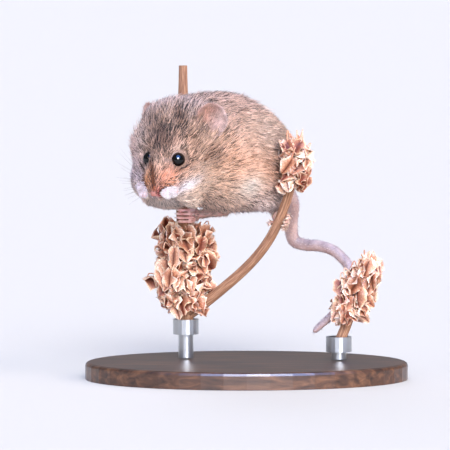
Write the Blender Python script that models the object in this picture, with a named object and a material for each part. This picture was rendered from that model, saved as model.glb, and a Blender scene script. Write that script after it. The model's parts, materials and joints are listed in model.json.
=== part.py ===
"""Harvest mouse on a cut length of dock stem, life size, as a still museum model on a stand.

The row frame is in metres with +Z up. Its origin is the centre of the stand's underside.
+X runs to the right of the viewer and +Y runs away from the viewer.
Sizes and places are written in millimetres, and MM brings them to metres.
"""

import math
import random

import bmesh
import bpy
from mathutils import Matrix, Vector

MM = 0.001
GAP = 0.3  # clear space that two nodes keep where they meet

# Head. Its own frame has its origin midway between the eyes: forward, left, up
HEAD_YAW = math.radians(25)  # the face turns to the viewer's left
HEAD_PITCH = math.radians(37)  # the nose points down
EYES_MIDDLE = Vector((-15.2, -14.7, 41.95))
EYE_SPREAD = 2.8  # each eyeball's centre, sideways from the middle of the face
EYE_RADIUS = 1.28
EYE_LOOKS = Vector((0.42, 0.86, 0.28)).normalized()
LID_RADIUS = 1.66
LID_THICKNESS = 0.33
LID_STANDS_OUT = 0.5  # how far outside the eyeball's centre the lid's rim lies

# Each head section: forward of the eyes, half width, top, bottom, narrowing of its upper half
HEAD_SECTIONS = (
    (7.5, 1.0, -1.35, -3.2, 0.0),
    (6.8, 1.9, -0.6, -4.0, 0.0),
    (5.6, 2.7, 0.3, -4.8, 0.1),
    (3.8, 3.3, 1.4, -5.6, 0.2),
    (1.8, 3.9, 2.6, -6.5, 0.32),
    (0.2, 5.0, 3.6, -7.4, 0.42),
    (-1.5, 6.7, 4.6, -7.9, 0.35),
    (-3.5, 8.3, 5.4, -8.2, 0.2),
    (-6.5, 8.9, 6.1, -8.2, 0.08),
    (-9.5, 8.2, 6.2, -7.8, 0.0),
    (-12.0, 6.8, 5.4, -6.6, 0.0),
)
NOSE_TIP = (7.9, 0.0, -2.35)
HEAD_BACK = (-13.6, 0.0, -0.5)
NOSE_PAD = ((7.35, 0.0, -2.3), (0.75, 0.95, 0.7))
CHIN = ((5.5, 0.0, -4.5), (1.4, 1.2, 0.75))
CHEEK = ((-0.4, 4.2, -4.2), (5.4, 3.3, 3.8))
NOSTRIL = (7.75, 0.5, -2.35)
NOSTRIL_RADIUS = 0.25
MOUTH_LINE = ((7.0, 0.0, -3.55), (6.75, 0.7, -3.95), (6.0, 1.6, -4.3), (4.6, 2.7, -4.7))
MOUTH_WIDTH = 0.44

# Ears, in the head's frame: the middle of a shallow cup, the way it opens, and the way its tip points.
# The left ear is pricked and the right one is laid back.
EARS = {
    "left": ((-7.2, 7.7, 3.2), (0.62, 0.66, 0.42), (-0.55, 0.45, 0.75)),
    "right": ((-9.4, -7.5, 2.0), (0.15, -0.93, 0.33), (-0.95, 0.0, 0.3)),
}
EAR_HALF_WIDTH = 2.8
EAR_HALF_HEIGHT = 3.1
EAR_DEPTH = 1.3
EAR_THICKNESS = 0.55

# Trunk: each section's centre, half width, half height and narrowing of its upper half
TRUNK_SECTIONS = (
    ((-12.6, -10.6, 42.6), 7.4, 8.7, 0.0),
    ((-10.0, -7.6, 43.4), 8.2, 10.0, 0.0),
    ((-7.0, -4.2, 43.1), 8.8, 10.7, 0.05),
    ((-4.0, -1.0, 42.4), 9.0, 11.1, 0.08),
    ((-1.0, 2.2, 41.2), 8.9, 10.5, 0.1),
    ((1.8, 5.2, 39.7), 8.2, 9.3, 0.1),
    ((4.2, 7.9, 38.0), 6.6, 7.6, 0.08),
    ((6.0, 9.9, 36.5), 4.5, 5.2, 0.0),
    ((7.1, 11.2, 35.4), 2.6, 3.0, 0.0),
)
TRUNK_FRONT = (-14.6, -13.0, 41.8)
TRUNK_END = (7.7, 11.9, 34.9)
BODY_YAW = math.radians(43)
NECK_YAW = math.radians(33)
NECK_PITCH = math.radians(-31)
NECK_MIDDLE = Vector((-10.2, -8.0, 43.7))
NECK_LENGTH = 3.4
CHEST = ((-14.2, -10.3, 38.0), (6.0, 5.8, 5.7))
HAUNCHES = (
    ((3.6, 0.6, 37.4), (5.6, 2.7, 6.4)),
    ((-4.4, 8.2, 37.6), (5.6, 2.7, 6.2)),
)

FLESH_VOXEL = 0.42
FLESH_SMOOTHING = 10
FLESH_TRIANGLES = 3300
BODY_REACH = 60.0  # longer than the body from the neck to either end

# Forelegs: centre and radius from the wrist to the shoulder
FORELEGS = {
    "left": ((-12.6, -18.0, 35.3, 0.85), (-10.0, -15.0, 33.9, 1.15), (-9.0, -10.8, 35.4, 1.7)),
    "right": ((-19.1, -15.1, 35.7, 0.75), (-18.1, -12.6, 34.0, 0.95), (-15.4, -9.4, 34.3, 1.5)),
}
# Forepaws, in the head's frame: side, centre of the palm, tip of the longest finger
FOREPAWS = {
    "left": (1, (6.2, 3.45, -2.45), (7.3, 1.95, -1.95)),
    "right": (-1, (5.5, -3.1, -2.25), (6.7, -1.9, -3.05)),
}
PALM = (1.2, 1.02, 0.76)
PAW_BACK = (0.75, 0.1, 0.35)
FINGERS = 4
FINGER_SPACING = 0.5

# Hind legs: each heel, the perch that it grips, and the side of that perch that the sole lies on
HEELS = {"left": (6.9, 4.6, 28.6), "right": (-4.0, 7.8, 30.7)}
SOLE_SIDES = {"left": (0.2, 0.5, 1.0), "right": (0.93, 0.36, 0.0)}
GRIP_SHARES = {"left": 0.62, "right": 0.56}
GRIP_RADII = {"left": 0.92, "right": 1.32}
SHANK = Vector((-2.0, -2.2, 5.0))
SHANK_BELOW_HEEL = 0.16
SOLE_RADIUS = 0.8
TOE_RADIUS = 0.36
TOE_SPACING = 0.72

# Tail: centre and radius, from the rump to the tip
TAIL_PATH = (
    (6.9, 11.6, 34.6, 1.7),
    (8.5, 15.5, 31.6, 1.45),
    (8.4, 18.8, 27.6, 1.3),
    (8.9, 19.9, 24.4, 1.2),
    (10.8, 19.0, 23.5, 1.12),
    (13.7, 17.0, 23.4, 1.08),
    (15.9, 15.0, 22.9, 1.03),
    (17.4, 13.5, 22.0, 1.0),
    (18.9, 11.5, 20.5, 0.97),
    (19.5, 10.0, 19.2, 0.94),
    (19.4, 8.0, 16.8, 0.88),
    (18.2, 6.6, 14.1, 0.81),
    (16.2, 6.0, 11.6, 0.74),
    (13.7, 6.0, 9.3, 0.66),
    (12.9, 6.0, 8.5, 0.5),
)
TAIL_LENGTHS = 4

# Perch: centre and radius along each cut length of dock stem
STEM_PATH = (
    (-11.3, 5.2, 9.3, 1.45),
    (-11.5, 5.3, 22.0, 1.38),
    (-11.8, 5.6, 36.0, 1.3),
    (-11.8, 6.1, 58.0, 0.78),
)
BRANCH_PATH = (
    (-11.5, 5.2, 11.0, 1.05),
    (-6.0, 4.0, 15.2, 1.0),
    (0.0, 2.2, 20.6, 0.95),
    (4.0, 0.7, 25.6, 0.92),
    (6.6, -0.6, 31.0, 0.88),
    (8.3, -1.7, 36.5, 0.82),
    (9.2, -2.3, 42.0, 0.75),
)
TWIG_PATH = (
    (17.2, 2.0, 6.3, 1.0),
    (19.0, 2.0, 11.0, 0.95),
    (20.9, 2.0, 16.0, 0.88),
    (22.4, 2.0, 20.0, 0.8),
)

# Whorls of fruit: share of the way along the stem, and radius
STEM_WHORLS = ((0.15, 4.2), (0.23, 4.8), (0.31, 5.0), (0.39, 4.6))
BRANCH_WHORLS = ((0.84, 2.6), (0.93, 2.8), (1.0, 2.2))
TWIG_WHORLS = ((0.38, 3.2), (0.6, 3.2), (0.8, 2.9), (1.0, 2.3))
WHORL_FLATNESS = 0.72
WHORL_UNEVENNESS = 0.12

# Stand
BASE_HALF_LENGTH = 30.0
BASE_HALF_WIDTH = 22.0
BASE_HEIGHT = 3.2
BASE_EDGE = 0.6
ROD_RADIUS = 1.4
COLLAR_INSIDE = 1.8
COLLAR_OUTSIDE = 2.4
COLLAR_HEIGHT = 2.8


def heading(yaw, pitch):
    """Forward, left and up of something that faces the viewer, turned by yaw and down by pitch."""
    forward = Vector((-math.sin(yaw) * math.cos(pitch), -math.cos(yaw) * math.cos(pitch), -math.sin(pitch)))
    left = Vector((math.cos(yaw), -math.sin(yaw), 0.0))
    return forward, left, forward.cross(left)


HEAD_AXES = heading(HEAD_YAW, HEAD_PITCH)


def head_way(forward, left, up):
    """A direction or step of the head's own frame, in the row frame."""
    return forward * HEAD_AXES[0] + left * HEAD_AXES[1] + up * HEAD_AXES[2]


def on_head(forward, left, up):
    """A place in the head's own frame, in row millimetres."""
    return EYES_MIDDLE + head_way(forward, left, up)


def clear_scene():
    for obj in list(bpy.data.objects):
        bpy.data.objects.remove(obj, do_unlink=True)


def material(name, colour, roughness, metallic=0.0):
    made = bpy.data.materials.new(name)
    made.use_nodes = True
    shader = made.node_tree.nodes["Principled BSDF"]
    shader.inputs["Base Color"].default_value = (*colour, 1.0)
    shader.inputs["Roughness"].default_value = roughness
    shader.inputs["Metallic"].default_value = metallic
    made.diffuse_color = (*colour, 1.0)
    return made


def object_of(name, bm):
    """A new object that holds the closed surface in bm, facing outwards."""
    bmesh.ops.recalc_face_normals(bm, faces=bm.faces)
    if bm.calc_volume(signed=True) < 0:
        bmesh.ops.reverse_faces(bm, faces=bm.faces)
    mesh = bpy.data.meshes.new(name)
    bm.to_mesh(mesh)
    bm.free()
    obj = bpy.data.objects.new(name, mesh)
    bpy.context.scene.collection.objects.link(obj)
    return obj


def closed_skin(name, rings, front, back):
    """A closed surface over rings of points, drawn to a point at each end. Places are in mm."""
    bm = bmesh.new()
    loops = [[bm.verts.new(p * MM) for p in points] for points in rings]
    count = len(loops[0])
    for one, two in zip(loops, loops[1:]):
        for i in range(count):
            j = (i + 1) % count
            bm.faces.new((one[i], one[j], two[j], two[i]))
    for loop, tip in ((loops[0], front), (loops[-1], back)):
        point = bm.verts.new(Vector(tip) * MM)
        for i in range(count):
            bm.faces.new((loop[i], loop[(i + 1) % count], point))
    return object_of(name, bm)


def section(centre, side, up, half_width, half_height, narrowing=0.0, count=28):
    """One oval section, with its upper half narrower than its lower half."""
    points = []
    for i in range(count):
        angle = 2 * math.pi * i / count
        across = half_width * math.cos(angle) * (1 - narrowing * math.sin(angle))
        points.append(centre + side * across + up * half_height * math.sin(angle))
    return points


def egg(name, centre, radii, axes=None, sides=16, rings=10):
    """An egg with one radius along each of three axes. Places are in mm."""
    bm = bmesh.new()
    bmesh.ops.create_uvsphere(bm, u_segments=sides, v_segments=rings, radius=1.0)
    turn = Matrix(axes).transposed().to_4x4() if axes else Matrix.Identity(4)
    place = Matrix.Translation(Vector(centre) * MM)
    bm.transform(place @ turn @ Matrix.Diagonal((*(Vector(radii) * MM), 1.0)))
    return object_of(name, bm)


def smooth_path(points, steps):
    """Points along a Catmull-Rom curve through rows of numbers, the first of them being places."""
    rows = [tuple(points[0]), *(tuple(p) for p in points), tuple(points[-1])]
    found = []
    for before, start, end, after in zip(rows, rows[1:], rows[2:], rows[3:]):
        for k in range(steps):
            t = k / steps
            found.append(tuple(
                b + 0.5 * t * ((c - a) + t * ((2 * a - 5 * b + 4 * c - d) + t * (3 * b - a - 3 * c + d)))
                for a, b, c, d in zip(before, start, end, after)
            ))
    found.append(rows[-1])
    return found


def tube(name, path, sides=8, steps=3):
    """A closed round tube through a path of (x, y, z, radius) in mm, with filled ends."""
    curve = bpy.data.curves.new(name, "CURVE")
    curve.dimensions = "3D"
    curve.bevel_depth = MM
    curve.bevel_resolution = sides // 2 - 2
    curve.use_fill_caps = True
    points = smooth_path(path, steps)
    spline = curve.splines.new("POLY")
    spline.points.add(len(points) - 1)
    for point, (x, y, z, radius) in zip(spline.points, points):
        point.co = (x * MM, y * MM, z * MM, 1.0)
        point.radius = radius
    guide = bpy.data.objects.new(name + "_guide", curve)
    bpy.context.scene.collection.objects.link(guide)
    bpy.context.view_layer.update()
    mesh = bpy.data.meshes.new_from_object(guide.evaluated_get(bpy.context.evaluated_depsgraph_get()))
    bpy.data.objects.remove(guide, do_unlink=True)
    bm = bmesh.new()
    bm.from_mesh(mesh)
    bmesh.ops.remove_doubles(bm, verts=bm.verts, dist=0.002 * MM)
    return object_of(name, bm)


def applied(obj, kind, **settings):
    """Adds one modifier to a mesh object and applies it."""
    modifier = obj.modifiers.new(kind.title(), kind)
    for key, value in settings.items():
        setattr(modifier, key, value)
    bpy.context.view_layer.update()
    mesh = bpy.data.meshes.new_from_object(obj.evaluated_get(bpy.context.evaluated_depsgraph_get()))
    obj.modifiers.clear()
    obj.data = mesh
    return obj


def combined(obj, others, operation):
    """One Boolean of obj with all the others, which are then removed."""
    group = bpy.data.collections.new("operands")
    bpy.context.scene.collection.children.link(group)
    for other in others:
        group.objects.link(other)
    applied(
        obj, "BOOLEAN", operation=operation, solver="MANIFOLD", operand_type="COLLECTION", collection=group
    )
    for other in others:
        bpy.data.objects.remove(other, do_unlink=True)
    bpy.data.collections.remove(group)
    return largest_body(obj)


def largest_body(obj):
    """Keeps only the largest closed surface of the mesh."""
    bm = bmesh.new()
    bm.from_mesh(obj.data)
    unseen = set(bm.faces)
    bodies = []
    while unseen:
        body = []
        edge = [unseen.pop()]
        while edge:
            face = edge.pop()
            body.append(face)
            for link in [f for e in face.edges for f in e.link_faces]:
                if link in unseen:
                    unseen.remove(link)
                    edge.append(link)
        bodies.append(body)
    bodies.sort(key=lambda faces: sum(f.calc_area() for f in faces))
    spare = [f for faces in bodies[:-1] for f in faces]
    if spare:
        bmesh.ops.delete(bm, geom=spare, context="FACES")
    bmesh.ops.dissolve_degenerate(bm, dist=0.002 * MM, edges=bm.edges)
    bmesh.ops.triangulate(bm, faces=bm.faces)
    bm.to_mesh(obj.data)
    bm.free()
    return obj


def swollen(obj, by=GAP):
    """A copy of a mesh object, grown outwards by so many millimetres."""
    twin = bpy.data.objects.new("cutter", obj.data.copy())
    bpy.context.scene.collection.objects.link(twin)
    return applied(twin, "DISPLACE", strength=by * MM, mid_level=0.0)


def trimmed(obj, *neighbours):
    """obj, cut back until it clears each neighbour by the gap."""
    for neighbour in neighbours:
        combined(obj, [swollen(neighbour)], "DIFFERENCE")
    return obj


def block(middle, axes, near, far, half=BODY_REACH):
    """A box across the first axis, from near to far along it, and wide enough for the whole body."""
    along, side, up = axes
    bm = bmesh.new()
    bmesh.ops.create_cube(bm, size=1.0)
    size = Matrix.Diagonal(((far - near) * MM, 2 * half * MM, 2 * half * MM, 1.0))
    turn = Matrix((along, side, up)).transposed().to_4x4()
    bm.transform(Matrix.Translation((middle + along * (near + far) / 2) * MM) @ turn @ size)
    return object_of("block", bm)


def copied(obj, name):
    twin = bpy.data.objects.new(name, obj.data.copy())
    bpy.context.scene.collection.objects.link(twin)
    return twin


def finished(obj, finish, smooth=True):
    """Gives a node its material and shading."""
    obj.data.materials.clear()
    obj.data.materials.append(finish)
    if smooth:
        obj.data.shade_smooth()
        obj.data.set_sharp_from_angle(angle=math.radians(50))
    return obj


def head_form():
    left, up = HEAD_AXES[1:]
    rings = [
        section(on_head(ahead, 0, (top + bottom) / 2), left, up, half_width, (top - bottom) / 2, narrowing)
        for ahead, half_width, top, bottom, narrowing in HEAD_SECTIONS
    ]
    return closed_skin("head_form", rings, on_head(*NOSE_TIP), on_head(*HEAD_BACK))


def trunk_form():
    centres = [Vector(row[0]) for row in TRUNK_SECTIONS]
    last = len(centres) - 1
    rings = []
    for i, (centre, half_width, half_height, narrowing) in enumerate(TRUNK_SECTIONS):
        along = (centres[min(i + 1, last)] - centres[max(i - 1, 0)]).normalized()
        side = along.cross(Vector((0, 0, 1))).normalized()
        rings.append(section(Vector(centre), side, side.cross(along), half_width, half_height, narrowing))
    return closed_skin("trunk_form", rings, TRUNK_FRONT, TRUNK_END)


def flesh():
    """Head and trunk as one smooth closed body, out to the tips of the coat."""
    body = trunk_form()
    body_axes = heading(BODY_YAW, 0.0)
    parts = [head_form()]
    (ahead, out, up), cheek_radii = CHEEK
    for side in (1, -1):
        parts.append(egg("cheek", on_head(ahead, side * out, up), cheek_radii, HEAD_AXES))
    for place, radii in (CHEST, *HAUNCHES):
        parts.append(egg("mass", place, radii, body_axes))
    combined(body, parts, "UNION")
    applied(body, "REMESH", mode="VOXEL", voxel_size=FLESH_VOXEL * MM)
    applied(body, "SMOOTH", factor=0.5, iterations=FLESH_SMOOTHING)
    applied(body, "DECIMATE", ratio=min(1.0, FLESH_TRIANGLES / (2 * len(body.data.polygons))))
    return largest_body(body)


def parted(body):
    """The body cut across the neck into head, neck and torso."""
    axes = heading(NECK_YAW, NECK_PITCH)
    half = NECK_LENGTH / 2
    pieces = []
    for name, near, far in (
        ("head", half + GAP, BODY_REACH),
        ("neck", -half, half),
        ("torso", -BODY_REACH, -half - GAP),
    ):
        pieces.append(combined(copied(body, name), [block(NECK_MIDDLE, axes, near, far)], "INTERSECT"))
    bpy.data.objects.remove(body, do_unlink=True)
    return pieces


def lid(side):
    """The rim of fur and skin round one eye: a ring across the way the eye looks."""
    axis = head_way(EYE_LOOKS.x, side * EYE_LOOKS.y, EYE_LOOKS.z)
    centre = on_head(0, side * EYE_SPREAD, 0) + axis * LID_STANDS_OUT
    across = axis.orthogonal().normalized()
    around = axis.cross(across)
    bm = bmesh.new()
    rings = []
    turns, sides = 16, 5
    for i in range(turns):
        a = 2 * math.pi * i / turns
        out = across * math.cos(a) + around * math.sin(a)
        ring = []
        for k in range(sides):
            b = 2 * math.pi * k / sides
            swell = out * math.cos(b) + axis * math.sin(b)
            ring.append(bm.verts.new((centre + out * LID_RADIUS + swell * LID_THICKNESS) * MM))
        rings.append(ring)
    for i in range(turns):
        one, two = rings[i], rings[(i + 1) % turns]
        for k in range(sides):
            j = (k + 1) % sides
            bm.faces.new((one[k], one[j], two[j], two[k]))
    return object_of("lid", bm)


def detailed_head(head):
    """Adds nose pad, chin and lids, then opens eye sockets, nostrils and the line of the mouth."""
    adds = [lid(1), lid(-1)]
    adds += [egg("form", on_head(*place), radii, HEAD_AXES) for place, radii in (NOSE_PAD, CHIN)]
    combined(head, adds, "UNION")
    cuts = []
    for side in (1, -1):
        socket = EYE_RADIUS + GAP
        cuts.append(egg("socket", on_head(0, side * EYE_SPREAD, 0), (socket,) * 3))
        ahead, out, up = NOSTRIL
        cuts.append(egg("nostril", on_head(ahead, side * out, up), (NOSTRIL_RADIUS,) * 3, sides=8, rings=6))
    line = [(f, -l, u) for f, l, u in reversed(MOUTH_LINE)] + list(MOUTH_LINE[1:])
    cuts.append(tube("mouth", [(*on_head(*p), MOUTH_WIDTH / 2) for p in line], sides=6, steps=2))
    for cut in cuts:
        combined(head, [cut], "DIFFERENCE")
    return head


def eye(name, side):
    return egg(name, on_head(0, side * EYE_SPREAD, 0), (EYE_RADIUS,) * 3, HEAD_AXES, sides=14, rings=9)


def ear(name, place, opening, rising):
    """A thin cup: its outer face from the root to the rim, then its inner face back down."""
    opens = head_way(*opening).normalized()
    rises = head_way(*rising)
    rises = (rises - opens * rises.dot(opens)).normalized()
    across = rises.cross(opens)
    middle = on_head(*place)
    rings = []
    levels = 5
    for face, inset in ((0, 0.0), (1, EAR_THICKNESS)):
        rows = []
        for k in range(1, levels + 1):
            share = k / levels
            radius = math.sin(share * math.pi / 2) ** 0.8
            depth = -EAR_DEPTH * math.cos(share * math.pi / 2) + inset * (1 - share)
            reach = radius * (1 - inset * share / EAR_HALF_WIDTH)
            centre = middle + opens * (depth + 0.25 * inset * share)
            half_width, half_height = EAR_HALF_WIDTH * reach, EAR_HALF_HEIGHT * reach
            rows.append(section(centre, across, rises, half_width, half_height, 0.0, 20))
        rings += rows if face == 0 else rows[::-1]
    return closed_skin(name, rings, middle - opens * EAR_DEPTH, middle - opens * (EAR_DEPTH - EAR_THICKNESS))


def forepaw(name, side, centre, tip):
    """A palm with four fingers that reach from it towards the mouth, each with a claw."""
    reach = head_way(*(Vector(tip) - Vector(centre)))
    length = reach.length
    reach.normalize()
    back = head_way(PAW_BACK[0], PAW_BACK[1] * side, PAW_BACK[2])
    back = (back - reach * back.dot(reach)).normalized()
    across = back.cross(reach)
    middle = on_head(*centre)
    palm = egg(name, middle, PALM, (reach, across, back), sides=12, rings=7)
    fingers = []
    for i in range(FINGERS):
        spread = (i - (FINGERS - 1) / 2) * FINGER_SPACING
        root = middle + reach * 0.6 + across * spread * 0.95
        reach_out = length * (0.92 if i in (0, FINGERS - 1) else 1.0)
        knuckle = middle + reach * (0.45 * reach_out + 0.6) + across * spread + back * 0.25
        end = middle + reach * reach_out + across * spread * 0.75 - back * 0.1
        claw = end + reach * 0.35 - back * 0.3
        path = [(*root, 0.36), (*knuckle, 0.34), (*end, 0.28), (*claw, 0.1)]
        fingers.append(tube("finger", path, sides=6, steps=1))
    return combined(palm, fingers, "UNION")


def limb(name, path):
    """A leg along a path of (x, y, z, radius), with its first end rounded."""
    x, y, z, radius = path[0]
    first = Vector((x, y, z))
    away = (first - Vector(path[1][:3])).normalized()
    return tube(name, [(*(first + away * radius * 0.6), radius * 0.45), *path], sides=10, steps=3)


def hindfoot(name, heel, grip, axis, away, perch_radius):
    """A long sole from the heel to the perch, four toes round it one way and the outer toe the other."""
    axis = Vector(axis).normalized()
    away = Vector(away)
    away = (away - axis * away.dot(axis)).normalized()
    front = away.cross(axis)
    grip = Vector(grip)
    ball = grip + away * (perch_radius + GAP + SOLE_RADIUS)
    heel = Vector(heel)
    middle = heel.lerp(ball, 0.5)
    back = heel + (heel - ball).normalized() * 0.8
    foot = tube(name, [(*back, 0.4), (*heel, 0.9), (*middle, 0.8), (*ball, SOLE_RADIUS)], sides=8, steps=2)
    around = perch_radius + GAP + TOE_RADIUS
    toes = [egg("pad", ball, (0.85, 1.25, 0.8), (away, axis, front), sides=10, rings=6)]
    for i in range(5):
        outer = i == 4
        spread = (i - 1.5) * TOE_SPACING if not outer else -1.3
        way = -1 if outer else 1
        reach = math.radians(95 if outer else 150 - 8 * abs(i - 1.5))
        path = [(*(ball + axis * spread * 0.5), TOE_RADIUS)]
        steps = 5
        for k in range(1, steps + 1):
            angle = reach * k / steps
            place = grip + axis * spread + (away * math.cos(angle) + front * way * math.sin(angle)) * around
            path.append((*place, TOE_RADIUS - 0.06 * k / steps))
        tip_angle = reach + math.radians(14)
        tip = away * math.cos(tip_angle) + front * way * math.sin(tip_angle)
        path.append((*(grip + axis * spread + tip * (around + 0.02)), 0.12))
        toes.append(tube("toe", path, sides=6, steps=1))
    return combined(foot, toes, "UNION")


def tail_pieces():
    """The tail in equal lengths, with the gap between each and the next."""
    points = smooth_path(TAIL_PATH, 4)
    share = (len(points) - 1) / TAIL_LENGTHS
    pieces = []
    for i in range(TAIL_LENGTHS):
        start, end = round(i * share), round((i + 1) * share)
        run = [list(p) for p in points[start:end + 1]]
        if i > 0:
            step = Vector(run[1][:3]) - Vector(run[0][:3])
            run[0][:3] = Vector(run[0][:3]) + step.normalized() * GAP
        pieces.append(tube(f"tail_{i + 1}", run, sides=8, steps=1))
    return pieces


def whorl(place, radius, seed):
    """The outer form of one ring of dock fruits round the stem."""
    draw = random.Random(seed)
    bm = bmesh.new()
    bmesh.ops.create_icosphere(bm, subdivisions=2, radius=1.0)
    for vert in bm.verts:
        vert.co *= (1 + draw.uniform(-WHORL_UNEVENNESS, WHORL_UNEVENNESS)) * radius * MM
        vert.co.z *= WHORL_FLATNESS
    bm.transform(Matrix.Translation(Vector(place) * MM))
    return object_of("whorl", bm)


def point_on(path, share):
    """The place at a share of the way along a smooth path."""
    points = smooth_path(path, 8)
    return Vector(points[round(share * (len(points) - 1))][:3])


def fruiting_stem(name, path, whorls):
    """A cut stem with its whorls of fruit, each given as a share of the stem and a radius."""
    stem = tube(name, path, sides=10, steps=3)
    fruits = [whorl(point_on(path, share), radius, seed) for seed, (share, radius) in enumerate(whorls)]
    return combined(stem, fruits, "UNION")


def base_plate():
    """An oval plate with its upper edge eased."""
    bm = bmesh.new()
    levels = (
        (0.0, 0.0), (0.0, BASE_HEIGHT - BASE_EDGE),
        (-0.3 * BASE_EDGE, BASE_HEIGHT - 0.3 * BASE_EDGE), (-BASE_EDGE, BASE_HEIGHT),
    )
    count = 44
    loops = []
    for grow, height in levels:
        loop = []
        for i in range(count):
            angle = 2 * math.pi * i / count
            x = (BASE_HALF_LENGTH + grow) * math.cos(angle)
            y = (BASE_HALF_WIDTH + grow) * math.sin(angle)
            loop.append(bm.verts.new(Vector((x, y, height)) * MM))
        loops.append(loop)
    for one, two in zip(loops, loops[1:]):
        for i in range(count):
            j = (i + 1) % count
            bm.faces.new((one[i], one[j], two[j], two[i]))
    bm.faces.new(loops[0])
    bm.faces.new(loops[-1])
    return object_of("stand_base", bm)


def cylinder(name, place, radius, low, high, sides=20):
    bm = bmesh.new()
    bmesh.ops.create_cone(
        bm, cap_ends=True, segments=sides, radius1=radius * MM, radius2=radius * MM, depth=(high - low) * MM
    )
    bm.transform(Matrix.Translation(Vector((place[0], place[1], (low + high) / 2)) * MM))
    return object_of(name, bm)


def collar(name, place, inside, outside, low, high, sides=20):
    """A plain ring that closes the joint between a rod and the stem above it."""
    bm = bmesh.new()
    loops = []
    for radius, height in ((outside, low), (outside, high), (inside, high), (inside, low)):
        loop = []
        for i in range(sides):
            angle = 2 * math.pi * i / sides
            x = place[0] + radius * math.cos(angle)
            y = place[1] + radius * math.sin(angle)
            loop.append(bm.verts.new(Vector((x, y, height)) * MM))
        loops.append(loop)
    for one, two in zip(loops, loops[1:] + loops[:1]):
        for i in range(sides):
            j = (i + 1) % sides
            bm.faces.new((one[i], one[j], two[j], two[i]))
    return object_of(name, bm)


def main():
    clear_scene()
    coat = material("harvest_mouse_coat", (0.42, 0.25, 0.13), 0.9)
    bare = material("bare_skin", (0.72, 0.50, 0.46), 0.6)
    black = material("eye_black", (0.006, 0.006, 0.008), 0.08)
    dock = material("dried_dock", (0.36, 0.19, 0.11), 0.85)
    metal = material("stand_steel", (0.55, 0.55, 0.56), 0.35, 1.0)
    wood = material("stand_wood", (0.16, 0.09, 0.05), 0.5)

    head, neck, torso = parted(flesh())
    detailed_head(head)
    for name, side in (("eye_left", 1), ("eye_right", -1)):
        finished(eye(name, side), black)
    for which, pose in EARS.items():
        finished(trimmed(ear(f"ear_{which}", *pose), head, neck, torso), bare)

    for which, path in FORELEGS.items():
        paw = trimmed(forepaw(f"forepaw_{which}", *FOREPAWS[which]), head)
        leg = trimmed(limb(f"foreleg_{which}", path), head, neck, torso, paw)
        finished(paw, bare)
        finished(leg, coat)

    branch_run = point_on(BRANCH_PATH, 0.72) - point_on(BRANCH_PATH, 0.6)
    perches = {"left": (BRANCH_PATH, branch_run), "right": (STEM_PATH, Vector((0, 0, 1)))}
    for which, (perch, run) in perches.items():
        heel = Vector(HEELS[which])
        grip = point_on(perch, GRIP_SHARES[which])
        foot = hindfoot(f"hindfoot_{which}", heel, grip, run, SOLE_SIDES[which], GRIP_RADII[which])
        trimmed(foot, torso)
        below = heel - SHANK * SHANK_BELOW_HEEL
        leg = limb(f"hindleg_{which}", [(*below, 0.6), (*heel, 1.1), (*(heel + SHANK), 2.0)])
        trimmed(leg, torso, foot)
        finished(foot, bare)
        finished(leg, coat)

    for piece in tail_pieces():
        finished(trimmed(piece, torso) if piece.name == "tail_1" else piece, bare)

    stem = trimmed(fruiting_stem("perch_stem", STEM_PATH, STEM_WHORLS), torso)
    branch = trimmed(fruiting_stem("perch_branch", BRANCH_PATH, BRANCH_WHORLS), torso, stem)
    twig = fruiting_stem("perch_twig", TWIG_PATH, TWIG_WHORLS)
    for piece in (stem, branch, twig):
        finished(piece, dock)

    finished(base_plate(), wood, smooth=False)
    for number, path in ((1, STEM_PATH), (2, TWIG_PATH)):
        place = path[0][:2]
        joint = path[0][2]
        finished(cylinder(f"stand_rod_{number}", place, ROD_RADIUS, BASE_HEIGHT + GAP, joint - GAP), metal)
        low, high = joint - COLLAR_HEIGHT / 2, joint + COLLAR_HEIGHT / 2
        ring = collar(f"stand_collar_{number}", place, COLLAR_INSIDE, COLLAR_OUTSIDE, low, high)
        finished(ring, metal)
    for obj in (head, neck, torso):
        finished(obj, coat)


main()
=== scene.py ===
# %% [markdown]
# A harvest mouse, life size, crouched on dried dock stems.
#
# The real animal is about 42 mm long as it crouches, so everything here is small: a hair is a
# twentieth of a millimetre thick and a dock fruit is 4 mm across. Numbers below are millimetres,
# and one helper brings them to metres at the end.
#
# The solid model of the mouse, its perch and its stand comes in first, as a fixed frame. Each
# step after that builds one part of the looks around it: skin, coat, eyes, ears, paws, tail,
# stems, fruits and stand.

# %% Load the frame
import json
import math

import bmesh
import bpy
import numpy as np
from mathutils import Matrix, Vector
from mathutils.bvhtree import BVHTree

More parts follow.
